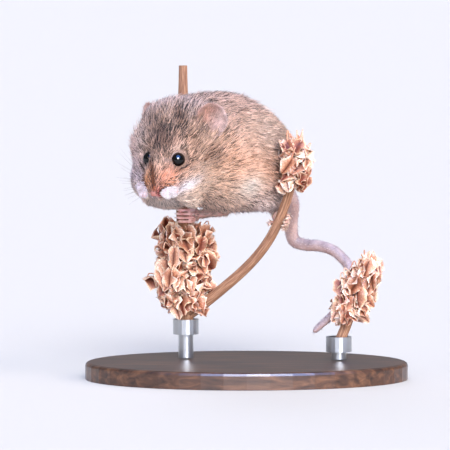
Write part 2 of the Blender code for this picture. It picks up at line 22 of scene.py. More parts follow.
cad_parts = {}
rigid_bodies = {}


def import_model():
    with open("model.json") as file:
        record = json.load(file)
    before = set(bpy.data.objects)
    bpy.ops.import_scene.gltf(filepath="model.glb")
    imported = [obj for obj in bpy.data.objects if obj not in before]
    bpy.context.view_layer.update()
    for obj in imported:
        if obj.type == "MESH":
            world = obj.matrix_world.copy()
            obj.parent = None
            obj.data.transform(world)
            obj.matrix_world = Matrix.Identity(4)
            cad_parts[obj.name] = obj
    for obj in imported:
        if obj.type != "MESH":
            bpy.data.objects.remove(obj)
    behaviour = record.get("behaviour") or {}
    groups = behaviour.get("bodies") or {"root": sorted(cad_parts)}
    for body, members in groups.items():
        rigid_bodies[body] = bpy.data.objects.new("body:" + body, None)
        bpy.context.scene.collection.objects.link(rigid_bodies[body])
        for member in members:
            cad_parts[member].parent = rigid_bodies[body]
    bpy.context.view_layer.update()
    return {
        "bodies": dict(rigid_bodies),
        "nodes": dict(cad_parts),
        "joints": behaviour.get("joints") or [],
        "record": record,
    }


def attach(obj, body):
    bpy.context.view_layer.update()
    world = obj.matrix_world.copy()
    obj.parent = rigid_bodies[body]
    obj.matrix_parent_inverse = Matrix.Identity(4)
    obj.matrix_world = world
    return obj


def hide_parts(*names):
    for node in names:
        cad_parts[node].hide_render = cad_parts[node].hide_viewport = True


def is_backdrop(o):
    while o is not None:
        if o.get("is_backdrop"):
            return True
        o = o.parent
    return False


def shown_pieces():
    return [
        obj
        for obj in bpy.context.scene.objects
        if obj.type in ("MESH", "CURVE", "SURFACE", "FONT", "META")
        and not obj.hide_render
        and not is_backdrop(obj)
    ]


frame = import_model()
MM = 0.001
print("nodes:", len(frame["nodes"]))

# %% [markdown]
# The camera stands 1.4 m away with a very long lens, as one does for a shy animal, so the
# mouse shows almost no perspective. It looks along +Y and a little downwards. One pixel of the
# 450 pixel frame is 1 / 5.4 mm at the mouse, and the lens follows from that.

# %% Camera
PHOTO_SIDE = 450
PIXELS_PER_MM = 5.4
CAMERA_DISTANCE = 1400
CAMERA_ELEVATION = math.radians(4.5)
CAMERA_TARGET = Vector((-4, -4, 29))
SENSOR = 36

camera_data = bpy.data.cameras.new("camera")
camera_data.sensor_width = SENSOR
camera_data.lens = SENSOR * CAMERA_DISTANCE / (PHOTO_SIDE / PIXELS_PER_MM)
camera_data.clip_start = 0.01
camera_data.clip_end = 30
camera = bpy.data.objects.new("camera", camera_data)
bpy.context.scene.collection.objects.link(camera)
towards_camera = Vector((0, -math.cos(CAMERA_ELEVATION), math.sin(CAMERA_ELEVATION)))
camera.location = (CAMERA_TARGET + towards_camera * CAMERA_DISTANCE) * MM
camera.rotation_euler = (-towards_camera).to_track_quat("-Z", "Y").to_euler()
bpy.context.scene.camera = camera
print("lens in mm:", round(camera_data.lens, 1))

# %% [markdown]
# Every material starts from a Principled shader. Two helpers keep the code short: one turns an
# sRGB hex colour into linear light, and one adds a node with its settings and links.

# %% Material helpers
def linear(hex_colour):
    """sRGB to linear: c / 12.92 up to 0.04045, and ((c + 0.055) / 1.055) to the power 2.4 above."""
    value = np.array([int(hex_colour[i:i + 2], 16) for i in (0, 2, 4)]) / 255
    return np.where(value <= 0.04045, value / 12.92, ((value + 0.055) / 1.055) ** 2.4)


def rgba(hex_colour):
    """Linear colour with full opacity, as a shader's socket takes it."""
    return (*linear(hex_colour), 1.0)


def add(tree, kind, inputs=(), stops=(), **settings):
    """Adds a node. inputs maps a socket's name or number to a value, or to the output that feeds it.
    stops are the (position, hex colour) pairs of a colour ramp."""
    made = tree.nodes.new(kind)
    for key, value in settings.items():
        setattr(made, key, value)
    for key, value in dict(inputs).items():
        if isinstance(value, bpy.types.NodeSocket):
            tree.links.new(value, made.inputs[key])
        else:
            made.inputs[key].default_value = value
    if stops:
        elements = made.color_ramp.elements
        while len(elements) < len(stops):
            elements.new(0.5)
        for element, (position, colour) in zip(elements, stops):
            element.position = position
            element.color = rgba(colour)
    return made


def new_material(name, **values):
    """A Principled material. An underscore in a keyword stands for a space in the socket's name."""
    made = bpy.data.materials.new(name)
    made.use_nodes = True
    tree = made.node_tree
    shader = tree.nodes["Principled BSDF"]
    for key, value in values.items():
        shader.inputs[key.replace("_", " ")].default_value = value
    return made, tree, shader


# %% [markdown]
# The floor is one wide pale disc just under the stand, and the world is an even pale sky. The
# mouse lives out of doors, under a bright and cloudy sky, so each light is a patch of that sky: a
# white cloud in front and above, blue overhead, a bright side to the viewer's right, a dimmer one
# to the left, and cool sky behind, which gives the coat its light fringe. Area lights would do
# too, but a light that is far off falls evenly on the whole floor. Two more patches light no fur
# and only show as reflections in the eyes: a small white cloud, and blue sky round it.

# %% Floor and light
FLOOR_RADIUS = 6000
FLOOR_DROP = 0.03
FLOOR_CORNERS = 96
floor_turn = np.linspace(0, 2 * np.pi, FLOOR_CORNERS + 1)[:-1]
floor_points = np.stack([np.cos(floor_turn), np.sin(floor_turn), floor_turn * 0], 1) * FLOOR_RADIUS * MM
floor_points[:, 2] = -FLOOR_DROP * MM
floor_mesh = bpy.data.meshes.new("floor")
floor_mesh.from_pydata(floor_points.tolist(), [], [list(range(FLOOR_CORNERS))])
floor = bpy.data.objects.new("floor", floor_mesh)
bpy.context.scene.collection.objects.link(floor)
floor_mesh.materials.append(new_material("pale studio floor", Base_Color=rgba("cfc9bf"), Roughness=0.9)[0])
floor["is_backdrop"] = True

world = bpy.data.worlds.new("overcast")
world.use_nodes = True
world.node_tree.nodes["Background"].inputs["Color"].default_value = rgba("e4ebf5")
world.node_tree.nodes["Background"].inputs["Strength"].default_value = 0.36
bpy.context.scene.world = world
bpy.context.scene.view_settings.view_transform = "Standard"


def sky_light(name, towards, strength, wide, colour, mirrored=False, lights_fur=True):
    """A light so far off that the whole floor gets the same of it. towards points from the mouse to
    the light, and wide is how many degrees of the sky it fills. A mirrored one shows in the eyes."""
    data = bpy.data.lights.new(name, "SUN")
    data.energy = strength
    data.angle = math.radians(wide)
    data.color = linear(colour)
    lamp = bpy.data.objects.new(name, data)
    bpy.context.scene.collection.objects.link(lamp)
    lamp.rotation_euler = (-Vector(towards)).to_track_quat("-Z", "Y").to_euler()
    lamp.visible_glossy = mirrored
    lamp.visible_diffuse = lights_fur


sky_light("white_cloud", (0.1, -0.84, 0.54), 2.6, 24, "ffffff")
sky_light("blue_sky", (-0.02, -0.46, 0.88), 1.15, 35, "79acff")
sky_light("bright_side", (0.8, -0.55, 0.3), 2.9, 50, "fff0e2")
sky_light("low_front", (0.05, -0.98, 0.1), 2.2, 60, "fff3ea")
sky_light("dim_side", (-0.8, -0.45, 0.3), 0.8, 50, "f6eefc")
sky_light("sky_behind", (-0.25, 0.75, 0.6), 1.5, 40, "cfdcff")
sky_light("cloud_in_eye", (0.1, -0.88, 0.44), 9.0, 26, "ffffff", mirrored=True, lights_fur=False)
sky_light("blue_in_eye", (0.12, -0.62, 0.78), 8.0, 56, "5f9cff", mirrored=True, lights_fur=False)
print("patches of sky:", len(bpy.data.lights))

# %% [markdown]
# Shapes are worked out as whole arrays. A surface is a grid of points: one row for each ring or
# cross-section, one column for each step round it. These helpers turn such grids into triangles
# with closed ends. Every random draw comes from one seeded source, so each run is the same.

# %% Grids
RANDOM = np.random.default_rng(20)


def unit(vectors):
    """Each vector divided by its length."""
    return vectors / np.maximum(np.linalg.norm(vectors, axis=-1, keepdims=True), 1e-12)


def grid_triangles(rows, columns, wrap=True):
    """Two triangles for each cell of a grid whose points are numbered row by row."""
    last = columns if wrap else columns - 1
    row, column = np.meshgrid(np.arange(rows - 1), np.arange(last), indexing="ij")
    a = row * columns + column
    b = row * columns + (column + 1) % columns
    c, d = b + columns, a + columns
    return np.concatenate([np.stack([a, b, c], -1).reshape(-1, 3), np.stack([a, c, d], -1).reshape(-1, 3)])


def closed_grid(rings):
    """Rings of points (rows, columns, 3) as one closed surface, with a fan to the middle of each end ring."""
    rows, columns = rings.shape[:2]
    points = np.concatenate([rings.reshape(-1, 3), rings[:1].mean(1), rings[-1:].mean(1)])
    step = np.arange(columns)
    following = (step + 1) % columns
    first, last = rows * columns, rows * columns + 1
    start = np.stack([following, step, np.full(columns, first)], -1)
    base = (rows - 1) * columns
    end = np.stack([base + step, base + following, np.full(columns, last)], -1)
    return points, np.concatenate([grid_triangles(rows, columns), start, end])


def joined(parts):
    """Several (points, triangles) as one."""
    sizes = np.cumsum([0] + [len(points) for points, _ in parts[:-1]])
    triangles = [faces + shift for (_, faces), shift in zip(parts, sizes)]
    return np.concatenate([points for points, _ in parts]), np.concatenate(triangles)

# %% [markdown]
# Blender takes and gives whole arrays through foreach_set and foreach_get. Points are in
# millimetres everywhere in this script, and only these helpers turn them into metres and back.

# %% Writing and reading meshes
def mesh_from(name, points, triangles):
    """A mesh from points in mm and triangles."""
    mesh = bpy.data.meshes.new(name)
    mesh.vertices.add(len(points))
    mesh.vertices.foreach_set("co", (np.asarray(points) * MM).astype(np.float32).ravel())
    mesh.loops.add(triangles.size)
    mesh.loops.foreach_set("vertex_index", triangles.astype(np.int32).ravel())
    mesh.polygons.add(len(triangles))
    mesh.polygons.foreach_set("loop_start", np.arange(0, triangles.size, 3, dtype=np.int32))
    mesh.update(calc_edges=True)
    mesh.validate()
    return mesh


def outward(mesh):
    """Turns the faces of a closed mesh outwards."""
    bm = bmesh.new()
    bm.from_mesh(mesh)
    bmesh.ops.recalc_face_normals(bm, faces=bm.faces)
    if bm.calc_volume(signed=True) < 0:
        bmesh.ops.reverse_faces(bm, faces=bm.faces)
    bm.to_mesh(mesh)
    bm.free()


def piece(name, mesh, material, replaces=(), sharp=None):
    """Puts a mesh into the scene as one piece of the object."""
    obj = bpy.data.objects.new(name, mesh)
    bpy.context.scene.collection.objects.link(obj)
    mesh.materials.append(material)
    mesh.shade_smooth()
    if sharp:
        mesh.set_sharp_from_angle(angle=math.radians(sharp))
    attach(obj, "root")
    if replaces:
        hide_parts(*replaces)
    print(name, len(mesh.polygons), "faces")
    return obj


def coordinates(mesh):
    """Vertex places in mm."""
    found = np.empty(len(mesh.vertices) * 3, np.float32)
    mesh.vertices.foreach_get("co", found)
    return found.reshape(-1, 3).astype(float) / MM


def vertex_normals(mesh):
    """The unit normal at each vertex."""
    found = np.empty(len(mesh.vertices) * 3, np.float32)
    mesh.vertex_normals.foreach_get("vector", found)
    return found.reshape(-1, 3).astype(float)


def triangles_of(mesh):
    """Each triangle as its three vertex numbers."""
    mesh.calc_loop_triangles()
    found = np.empty(len(mesh.loop_triangles) * 3, np.int32)
    mesh.loop_triangles.foreach_get("vertices", found)
    return found.reshape(-1, 3)


def paint(mesh, name, colours):
    """Writes one linear colour for each vertex into a colour attribute."""
    layer = mesh.color_attributes.new(name, "FLOAT_COLOR", "POINT")
    full = np.ones((len(colours), 4), np.float32)
    full[:, :3] = colours
    layer.data.foreach_set("color", full.ravel())


# %% [markdown]
# A leg, toe, tail or stem is a round section carried along a curve. The curve runs smoothly
# through a few given points, and each section stands square to it.

# %% Curves and tubes
def smooth_path(points, steps):
    """Catmull-Rom curve through rows of numbers: each span is a cubic whose slope at a point is half
    the way from the point before it to the point after it."""
    rows = np.array([points[0], *points, points[-1]], float)
    a, b, c, d = (rows[i:len(rows) - 3 + i][:, None] for i in range(4))
    t = (np.arange(steps) / steps)[None, :, None]
    spans = b + 0.5 * t * ((c - a) + t * ((2 * a - 5 * b + 4 * c - d) + t * (3 * b - a - 3 * c + d)))
    return np.concatenate([spans.reshape(-1, rows.shape[1]), rows[-1:]])


def frames_along(path):
    """Tangent, side and up at each point. Side turns as little as it can from one point to the next."""
    tangent = unit(np.gradient(path, axis=0))
    side = np.empty_like(tangent)
    start = np.cross(tangent[0], [0.13, 0.21, 0.97])
    for i, along in enumerate(tangent):
        start = start - along * (start @ along)
        start = start / np.linalg.norm(start)
        side[i] = start
    return tangent, side, np.cross(tangent, side)


def tube(path, radii, sides=16, shape=None):
    """Rings round a path: centre + radius (cos a * side + sin a * up). shape scales the radius at each
    ring and angle."""
    path = np.asarray(path, float)
    tangent, side, up = frames_along(path)
    angle = np.linspace(0, 2 * np.pi, sides, endpoint=False)
    reach = np.broadcast_to(np.asarray(radii, float)[:, None], (len(path), sides)).copy()
    if shape is not None:
        reach *= shape(np.linspace(0, 1, len(path))[:, None], angle[None, :])
    turn = np.cos(angle)[None, :, None] * side[:, None] + np.sin(angle)[None, :, None] * up[:, None]
    return path[:, None] + turn * reach[:, :, None]


def round_tube(path, radii, sides=12):
    """A tube whose two ends are drawn in over half a radius, so that they look round."""
    path, radii = np.asarray(path, float), np.asarray(radii, float)
    away = [unit(path[0] - path[1]), unit(path[-1] - path[-2])]
    front = [path[0] + away[0] * radii[0] * k for k in (0.95, 0.75)]
    back = [path[-1] + away[1] * radii[-1] * k for k in (0.75, 0.95)]
    full = np.concatenate([front, path, back])
    reach = np.concatenate([radii[0] * np.array([0.3, 0.7]), radii, radii[-1] * np.array([0.7, 0.3])])
    return closed_grid(tube(full, reach, sides))


def egg(centre, radii, axes=None, sides=24, rows=14):
    """A ball stretched along three axes: centre + sum of axis * radius * direction."""
    lift = np.linspace(-np.pi / 2, np.pi / 2, rows + 2)[1:-1, None]
    turn = np.linspace(0, 2 * np.pi, sides, endpoint=False)[None, :]
    ball = np.stack([np.cos(lift) * np.cos(turn), np.cos(lift) * np.sin(turn), np.sin(lift) + 0 * turn], -1)
    axes = np.eye(3) if axes is None else np.asarray(axes, float)
    return closed_grid(np.asarray(centre, float) + (ball * np.asarray(radii, float)) @ axes)

# %% [markdown]
# Soft shapes run into each other without an edge, as a finger runs into its palm. They could be
# one sculpted surface, but it is simpler to make each apart and let a voxel remesh fuse them.

# %% Remeshing
def evaluated(obj, *modifiers):
    """Adds modifiers to a scratch object, and gives the mesh that they make."""
    for kind, settings in modifiers:
        modifier = obj.modifiers.new(kind.title(), kind)
        for key, value in settings.items():
            setattr(modifier, key, value)
    bpy.context.view_layer.update()
    made = bpy.data.meshes.new_from_object(obj.evaluated_get(bpy.context.evaluated_depsgraph_get()))
    bpy.data.objects.remove(obj, do_unlink=True)
    return made


def fused(name, parts, voxel, smoothing):
    """Overlapping closed shapes as one smooth closed surface, by a voxel remesh and some smoothing."""
    source = mesh_from(name, *joined(parts))
    obj = bpy.data.objects.new(name, source)
    bpy.context.scene.collection.objects.link(obj)
    made = evaluated(
        obj,
        ("REMESH", {"mode": "VOXEL", "voxel_size": voxel * MM}),
        ("SMOOTH", {"factor": 0.5, "iterations": smoothing}),
        ("TRIANGULATE", {}),
    )
    made.materials.clear()
    made.name = name
    return made


# %% [markdown]
# The face is easiest to describe from its own point of view. The head's frame has its origin
# midway between the eyes, and its axes point forward to the nose, to the mouse's left, and up
# out of the crown. The head is turned 25 degrees from the viewer and the nose points 37 degrees
# down.

# %% The head's own frame
HEAD_YAW = math.radians(25)
HEAD_PITCH = math.radians(37)
EYES_MIDDLE = np.array([-15.2, -14.7, 41.95])
BODY_YAW = math.radians(43)


def heading(yaw, pitch):
    """Rows forward, left and up for something turned by yaw and tipped down by pitch."""
    forward = np.array([-math.sin(yaw) * math.cos(pitch), -math.cos(yaw) * math.cos(pitch), -math.sin(pitch)])
    left = np.array([math.cos(yaw), -math.sin(yaw), 0.0])
    return np.array([forward, left, np.cross(forward, left)])


HEAD_AXES = heading(HEAD_YAW, HEAD_PITCH)
BODY_AXES = heading(BODY_YAW, 0.0)
BODY_MIDDLE = np.array([-3.0, 0.0, 41.0])
print("the nose points along", HEAD_AXES[0].round(2))


def head_way(step):
    """A direction in the head's frame as one in the scene."""
    return np.asarray(step, float) @ HEAD_AXES


def on_head(place):
    """A place in the head's frame as one in the scene, in mm."""
    return EYES_MIDDLE + head_way(place)


def in_head(points):
    """Row places as forward, left and up from between the eyes."""
    return (points - EYES_MIDDLE) @ HEAD_AXES.T


def in_body(points):
    """Row places as forward, left and up from the middle of the trunk."""
    return (points - BODY_MIDDLE) @ BODY_AXES.T


def mirrored(values, side):
    """The same head place or direction on the left (1) or the right (-1)."""
    return np.asarray(values, float) * np.array([1, side, 1])


# %% [markdown]
# The skin is one surface. It could be sculpted or lofted, but the solids already have the true
# outline of the coat, so the safest way is to start from them: join head, neck, trunk and legs,
# swell them a little so that the narrow gaps close, remesh the lot into one surface, smooth it,
# and draw it in by the depth of the coat. The coat is deep on the back and almost nothing on
# the muzzle and round the eyes.

# %% Skin from the solids
# The solids that the skin takes the place of, as one surface
FLESH = ["head", "neck", "torso", "foreleg_left", "foreleg_right", "hindleg_left", "hindleg_right"]
SWELL = 0.24
SKIN_VOXEL = 0.3
EYE_SPREAD = 2.8
EYE_RADIUS = 1.35
EYE_LOOKS = unit(np.array([0.48, 0.8, 0.36]))


def node_shape(name):
    """A solid's points and triangles, with the points that lie together merged."""
    bm = bmesh.new()
    bm.from_mesh(frame["nodes"][name].data)
    bmesh.ops.remove_doubles(bm, verts=bm.verts, dist=0.001 * MM)
    bmesh.ops.triangulate(bm, faces=bm.faces)
    points = np.array([v.co for v in bm.verts]) / MM
    triangles = np.array([[v.index for v in f.verts] for f in bm.faces])
    bm.free()
    return points, triangles


def falloff(points, centre, radii):
    """1 at the centre and near 0 beyond the radii: e to the power minus the squared distance in radii."""
    return np.exp(-(((points - np.asarray(centre)) / np.asarray(radii)) ** 2).sum(-1))


def coat_depth(points):
    """How far the tips of the coat stand above the skin, in mm."""
    head = in_head(points)
    depth = np.full(len(points), 0.95)
    on_face = 1 / (1 + np.exp(-(head[:, 0] + 3.5) / 1.2))
    depth -= 0.5 * on_face
    depth -= 0.22 * falloff(head, (7.0, 0, -2.6), (4.0, 3.0, 2.6)) * on_face
    for side in (1, -1):
        depth -= 0.25 * falloff(head, (0.3, side * 3.3, 0.2), (2.4, 2.0, 2.4))
    lower = points[:, 2] < 33.5
    depth -= np.where(lower, np.clip((33.5 - points[:, 2]) / 3.0, 0, 1) * 0.35, 0)
    return np.clip(depth, 0.12, None)

# %% [markdown]
# The two remeshes do the work. The first joins the swollen solids. Then each point moves in along
# its normal by the swelling and the coat's depth, and the second remesh cleans up where the
# surface folded over itself.

# %% Draw the skin in
source = mesh_from("flesh", *joined([node_shape(name) for name in FLESH]))
swollen = bpy.data.objects.new("flesh", source)
bpy.context.scene.collection.objects.link(swollen)
whole = evaluated(
    swollen,
    ("DISPLACE", {"strength": SWELL * MM, "mid_level": 0.0}),
    ("REMESH", {"mode": "VOXEL", "voxel_size": SKIN_VOXEL * MM}),
    ("SMOOTH", {"factor": 0.5, "iterations": 12}),
)
places = coordinates(whole)
drawn_in = places - vertex_normals(whole) * (SWELL + coat_depth(places))[:, None]
core = bpy.data.objects.new("core", mesh_from("core", drawn_in, triangles_of(whole)))
bpy.context.scene.collection.objects.link(core)
skin_mesh = evaluated(
    core,
    ("REMESH", {"mode": "VOXEL", "voxel_size": SKIN_VOXEL * MM}),
    ("SMOOTH", {"factor": 0.5, "iterations": 5}),
)


def keep_largest(mesh):
    """Keeps the largest closed surface of a mesh."""
    bm = bmesh.new()
    bm.from_mesh(mesh)
    unseen = set(bm.faces)
    bodies = []
    while unseen:
        edge = [unseen.pop()]
        body = []
        while edge:
            face = edge.pop()
            body.append(face)
            for link in [f for e in face.edges for f in e.link_faces if f in unseen]:
                unseen.remove(link)
                edge.append(link)
        bodies.append(body)
    bodies.sort(key=len)
    spare = [f for body in bodies[:-1] for f in body]
    if spare:
        bmesh.ops.delete(bm, geom=spare, context="FACES")
    bm.to_mesh(mesh)
    bm.free()
    return mesh


keep_largest(skin_mesh)
print("skin:", len(skin_mesh.vertices), "points")

# %% [markdown]
# Near the eyes, nose and mouth the skin needs finer facets than on the back. Faces there are
# split in four twice. Then numpy moves their points: a lid swells round each eyeball and dips
# behind its rim, and the nose gets its pad and nostrils.

# %% Finer skin on the face
NOSE_PLACE = np.array([7.1, 0.0, -2.5])


def refine(mesh, wanted):
    """Splits in four the faces whose points all lie where wanted says so."""
    bm = bmesh.new()
    bm.from_mesh(mesh)
    points = np.array([v.co for v in bm.verts]) / MM
    chosen = wanted(in_head(points))
    edges = [e for e in bm.edges if chosen[e.verts[0].index] and chosen[e.verts[1].index]]
    bmesh.ops.subdivide_edges(bm, edges=edges, cuts=1, use_grid_fill=True)
    bmesh.ops.triangulate(bm, faces=[f for f in bm.faces if len(f.verts) > 4])
    bm.to_mesh(mesh)
    bm.free()


def from_eye(head, side):
    """Each place's distance from the middle of one eye, and how far it is off the way the eye looks: the
    arc cosine of (way from the eye . way it looks)."""
    out = head - np.array([0, side * EYE_SPREAD, 0])
    distance = np.linalg.norm(out, axis=1)
    return distance, np.arccos(np.clip((out @ mirrored(EYE_LOOKS, side)) / np.maximum(distance, 1e-6), -1, 1))


def near_features(reach):
    """Places within reach of an eye, or of the nose and mouth."""
    def test(head):
        near = np.linalg.norm(head - NOSE_PLACE, axis=1) < reach * 1.1
        for side in (1, -1):
            near |= from_eye(head, side)[0] < reach
        return near
    return test


refine(skin_mesh, near_features(3.4))
refine(skin_mesh, near_features(2.4))
print("skin with a finer face:", len(skin_mesh.vertices), "points")

# %% [markdown]
# The lids, the nose and the room behind each ear are worked out in the head's frame, as functions
# that take places and give them back moved. Sculpting would do as well, but a function can be
# read, and it gives both sides of the face at once.

# %% Lids and nose
RIM_ANGLES = {1: math.radians(86), -1: math.radians(72)}
LID_HEIGHT = 0.24
EAR_HALF_WIDTH = 2.8
EAR_HALF_HEIGHT = 3.1
EAR_DEPTH = 1.3
EAR_SKIN = 0.34
# Each ear in the head's frame: the middle of its opening, the way it opens, the way its tip points
EARS = {
    "left": ((-7.2, 7.7, 3.2), (0.62, 0.66, 0.42), (-0.55, 0.45, 0.75)),
    "right": ((-9.2, -7.05, 1.05), (0.15, -0.93, 0.33), (-0.95, 0.0, 0.3)),
}


def smoothstep(value, low, high):
    """0 below low, 1 above high, and 3 t^2 - 2 t^3 between."""
    t = np.clip((value - low) / (high - low), 0, 1)
    return t * t * (3 - 2 * t)


def ear_frame(which):
    """Middle, opens, rises and across of one ear, in the head's frame."""
    middle, opens, rises = (np.array(v, float) for v in EARS[which])
    opens = unit(opens)
    rises = unit(rises - opens * (rises @ opens))
    return middle, opens, rises, np.cross(rises, opens)


def in_ear(head, which):
    """Share of the way from the ear's middle to its rim, and the depth along the way it opens."""
    middle, opens, rises, across = ear_frame(which)
    out = head - middle
    share = np.hypot(out @ across / EAR_HALF_WIDTH, out @ rises / EAR_HALF_HEIGHT)
    return share, out @ opens


def shape_lids(head):
    """Round each eyeball the skin stands a lid's height above the ball, and inside the rim it dips into
    the ball."""
    for side in (1, -1):
        rim = RIM_ANGLES[side]
        centre = np.array([0, side * EYE_SPREAD, 0])
        out = head - centre
        distance, angle = from_eye(head, side)
        near = distance < 3.3
        lid = EYE_RADIUS + LID_HEIGHT * np.exp(-((angle - rim - 0.24) / 0.3) ** 2) + 0.02
        blend = smoothstep(angle, rim + 0.15, rim + 0.95) * smoothstep(distance, 1.2, 2.2)
        covering = np.where(distance > lid, lid * (1 - blend) + distance * blend, lid)
        wanted = np.where(angle < rim, EYE_RADIUS * 0.86, covering)
        wanted = np.where(angle > rim + 1.1, np.maximum(distance, EYE_RADIUS + 0.1), wanted)
        moved = centre + out * (wanted / np.maximum(distance, 1e-6))[:, None]
        head = np.where(near[:, None], moved, head)
    return head


def shape_nose(head):
    """A rounded pad at the tip with a comma-shaped pit on each side, and a groove down to the lip."""
    push = np.zeros_like(head)
    push[:, 0] += 0.28 * falloff(head, (7.4, 0, -2.0), (0.9, 0.8, 0.6))
    push[:, 0] -= 0.16 * falloff(head, (7.4, 0, -2.75), (1.0, 0.9, 0.26))
    for side in (1, -1):
        push[:, 0] -= 0.42 * falloff(head, (7.6, side * 0.52, -2.05), (1.2, 0.2, 0.17))
        push[:, 1] += side * 0.12 * falloff(head, (7.3, side * 0.75, -1.85), (0.7, 0.3, 0.4))
    push[:, 0] -= 0.2 * falloff(head, (7.3, 0, -3.0), (1.2, 0.1, 0.7))
    return head + push


def make_room_for_ears(head):
    """Inside an ear's rim the skin goes back behind the cup: depth = -D * cos(s), with sin(s) equal to
    the share of the way to the rim raised to 1.25."""
    for which in EARS:
        opens = ear_frame(which)[1]
        share, depth = in_ear(head, which)
        angle = np.arcsin(np.clip(share, 0, 1) ** 1.25)
        behind = -EAR_DEPTH * np.cos(angle) - 0.18
        over = (share < 1) & (depth > behind) & (depth < 3)
        step = np.where(over, (behind - depth) * smoothstep(1 - share, 0, 0.1), 0)
        head = head + step[:, None] * opens
    return head

# %% [markdown]
# All the moves are made in one go, and the skin is then final. Everything after this, coat, ears
# and whiskers, is set on it.

# %% Shape the face
skin_places = coordinates(skin_mesh)
skin_head = make_room_for_ears(shape_nose(shape_lids(in_head(skin_places))))
skin_places = skin_head @ HEAD_AXES + EYES_MIDDLE
skin_mesh.vertices.foreach_set("co", (skin_places * MM).astype(np.float32).ravel())
skin_mesh.update()

# %% [markdown]
# The markings are worked out once, as a function of place, and given to skin and coat alike. A
# harvest mouse is russet on the flanks and back, greyer and darker on the crown, orange on the
# muzzle, and white on lips, throat and belly. Each patch is a soft ellipsoid in the frame of the
# head or the trunk, laid over the base colour in turn. Some patches are painted shade and light,
# in whole and in part: painted shade behind the cheeks, in a corner of the mouth, on the belly and
# on the right cheek, and painted light on the thighs and along the top of the head.

# %% Markings
# Each patch: frame, centre, distance at which it is half gone, colour, strength
MARKINGS_AND_PAINTED_LIGHT = (
    ("body", (0, 0, 10), (30, 9, 5), "b0989a", 0.85),
    ("body", (-1, 8, -0.5), (12, 5, 5.5), "ffb07a", 0.98),
    ("body", (-1, -8, -0.5), (12, 5, 5.5), "ffb07a", 0.98),
    ("body", (-4.5, 7, 4.6), (7.5, 6, 3.8), "ffe2d6", 0.92),
    ("body", (-10.5, 0, 0), (3.5, 8, 6), "dfae90", 0.7),
    # Painted shade: the belly's white fur is greyed here, as the underside lies in shade
    ("body", (2, 0, -10.0), (16, 15, 5.0), "c8bfc6", 0.99),
    # Partly pale fur, partly painted light: a bright patch on each thigh, where the light falls
    ("body", (2.9, 7.7, -4.8), (2.4, 3, 2.0), "fffaf6", 0.95),
    ("body", (2.9, -7.7, -4.8), (2.4, 3, 2.0), "fffaf6", 0.95),
    # Painted shade: dark behind each cheek, where the head meets the trunk
    ("body", (11, 8, 2.0), (2.4, 3.0, 4.0), "86695a", 0.75),
    ("body", (11, -8, 2.0), (2.4, 3.0, 4.0), "86695a", 0.75),
    ("head", (-3, 0, 1), (9, 9, 9), "886b5d", 0.92),
    ("head", (-7.6, -0.5, 5.4), (2.6, 4.0, 1.6), "b89a89", 0.8),
    # Painted light: pale lilac along the top of the head, where the cool sky falls on the coat
    ("head", (-12.2, 0, 5.0), (2.7, 9, 3.0), "c6b7c0", 0.95),
    ("head", (-6.3, 2.4, 5.6), (1.5, 0.9, 1.5), "4a352d", 0.85),
    ("head", (-2.7, 0.3, 5.0), (1.4, 0.9, 1.1), "54403a", 0.65),
    ("head", (-0.9, -0.7, 4.1), (1.3, 0.8, 1.0), "54403a", 0.65),
    ("head", (-5.6, -2.8, 5.2), (2.4, 1.7, 1.5), "54413b", 0.68),
    ("head", (-4.0, 5.8, 2.2), (3.0, 1.8, 1.7), "9a7c6b", 0.85),
    ("head", (-3.5, -5.5, 2.4), (3.2, 2.0, 1.8), "b09d95", 0.7),
    ("head", (-5.2, 7.8, 0.4), (2.2, 2.0, 1.8), "b99b8a", 0.85),
    # Painted shade: dark behind the left cheek, below the ear
    ("head", (-3.6, 8.5, -2.2), (1.5, 2.0, 1.8), "75594a", 0.82),
    ("head", (-1.7, -7.2, -1.5), (3.8, 2.4, 3.6), "c6afac", 0.95),
    ("head", (-0.9, 1.4, 3.6), (1.8, 1.8, 1.1), "553d33", 0.84),
    ("head", (-0.4, 3.3, 2.0), (1.5, 1.2, 0.8), "cbb0a6", 0.85),
    ("head", (1.2, 4.7, -1.2), (2.0, 1.7, 0.8), "ab806a", 0.88),
    ("head", (0.6, 7.2, -3.2), (2.6, 2.4, 2.0), "b89b88", 0.9),
    ("head", (1.4, -7.0, -3.6), (2.6, 2.4, 2.0), "a3939a", 0.95),
    ("head", (3.7, 5.2, -3.0), (2.3, 1.9, 0.7), "dadeed", 0.98),
    # Painted shade: a dark spot in the corner between the muzzle and the left paw
    ("head", (4.5, 3.8, -2.5), (0.7, 0.5, 0.5), "7d6470", 0.85),
    # Partly lilac-grey fur, partly painted shade: the right cheek by the paw lies on the side away from the
    # light
    ("head", (3.4, -4.6, -1.6), (1.6, 1.5, 1.0), "a3959f", 0.9),
    ("head", (3.0, -5.6, -4.2), (1.8, 1.8, 1.2), "9c8d92", 0.9),
    ("head", (4.2, 0, -7.0), (5.0, 6.0, 2.8), "fae6dd", 0.95),
    ("head", (4.3, 2.0, -0.5), (1.9, 1.4, 1.2), "e09475", 0.97),
    ("head", (4.9, 2.7, -1.7), (1.5, 1.0, 0.8), "f0a377", 0.95),
    ("head", (5.2, -1.7, -0.6), (1.8, 1.2, 1.1), "cd8349", 0.97),
    ("head", (2.2, 0.9, 1.8), (1.5, 1.7, 0.8), "b0907f", 0.85),
    ("head", (6.9, 0.5, -1.6), (1.2, 0.9, 0.8), "dd9784", 0.8),
    ("head", (1.2, -3.0, 1.4), (1.3, 0.9, 0.8), "5d453c", 0.6),
    ("head", (7.7, -0.5, -3.0), (1.3, 1.4, 0.75), "fbe4e8", 0.97),
    ("head", (7.0, 1.2, -2.3), (1.0, 0.75, 0.9), "a8383a", 0.97),
)
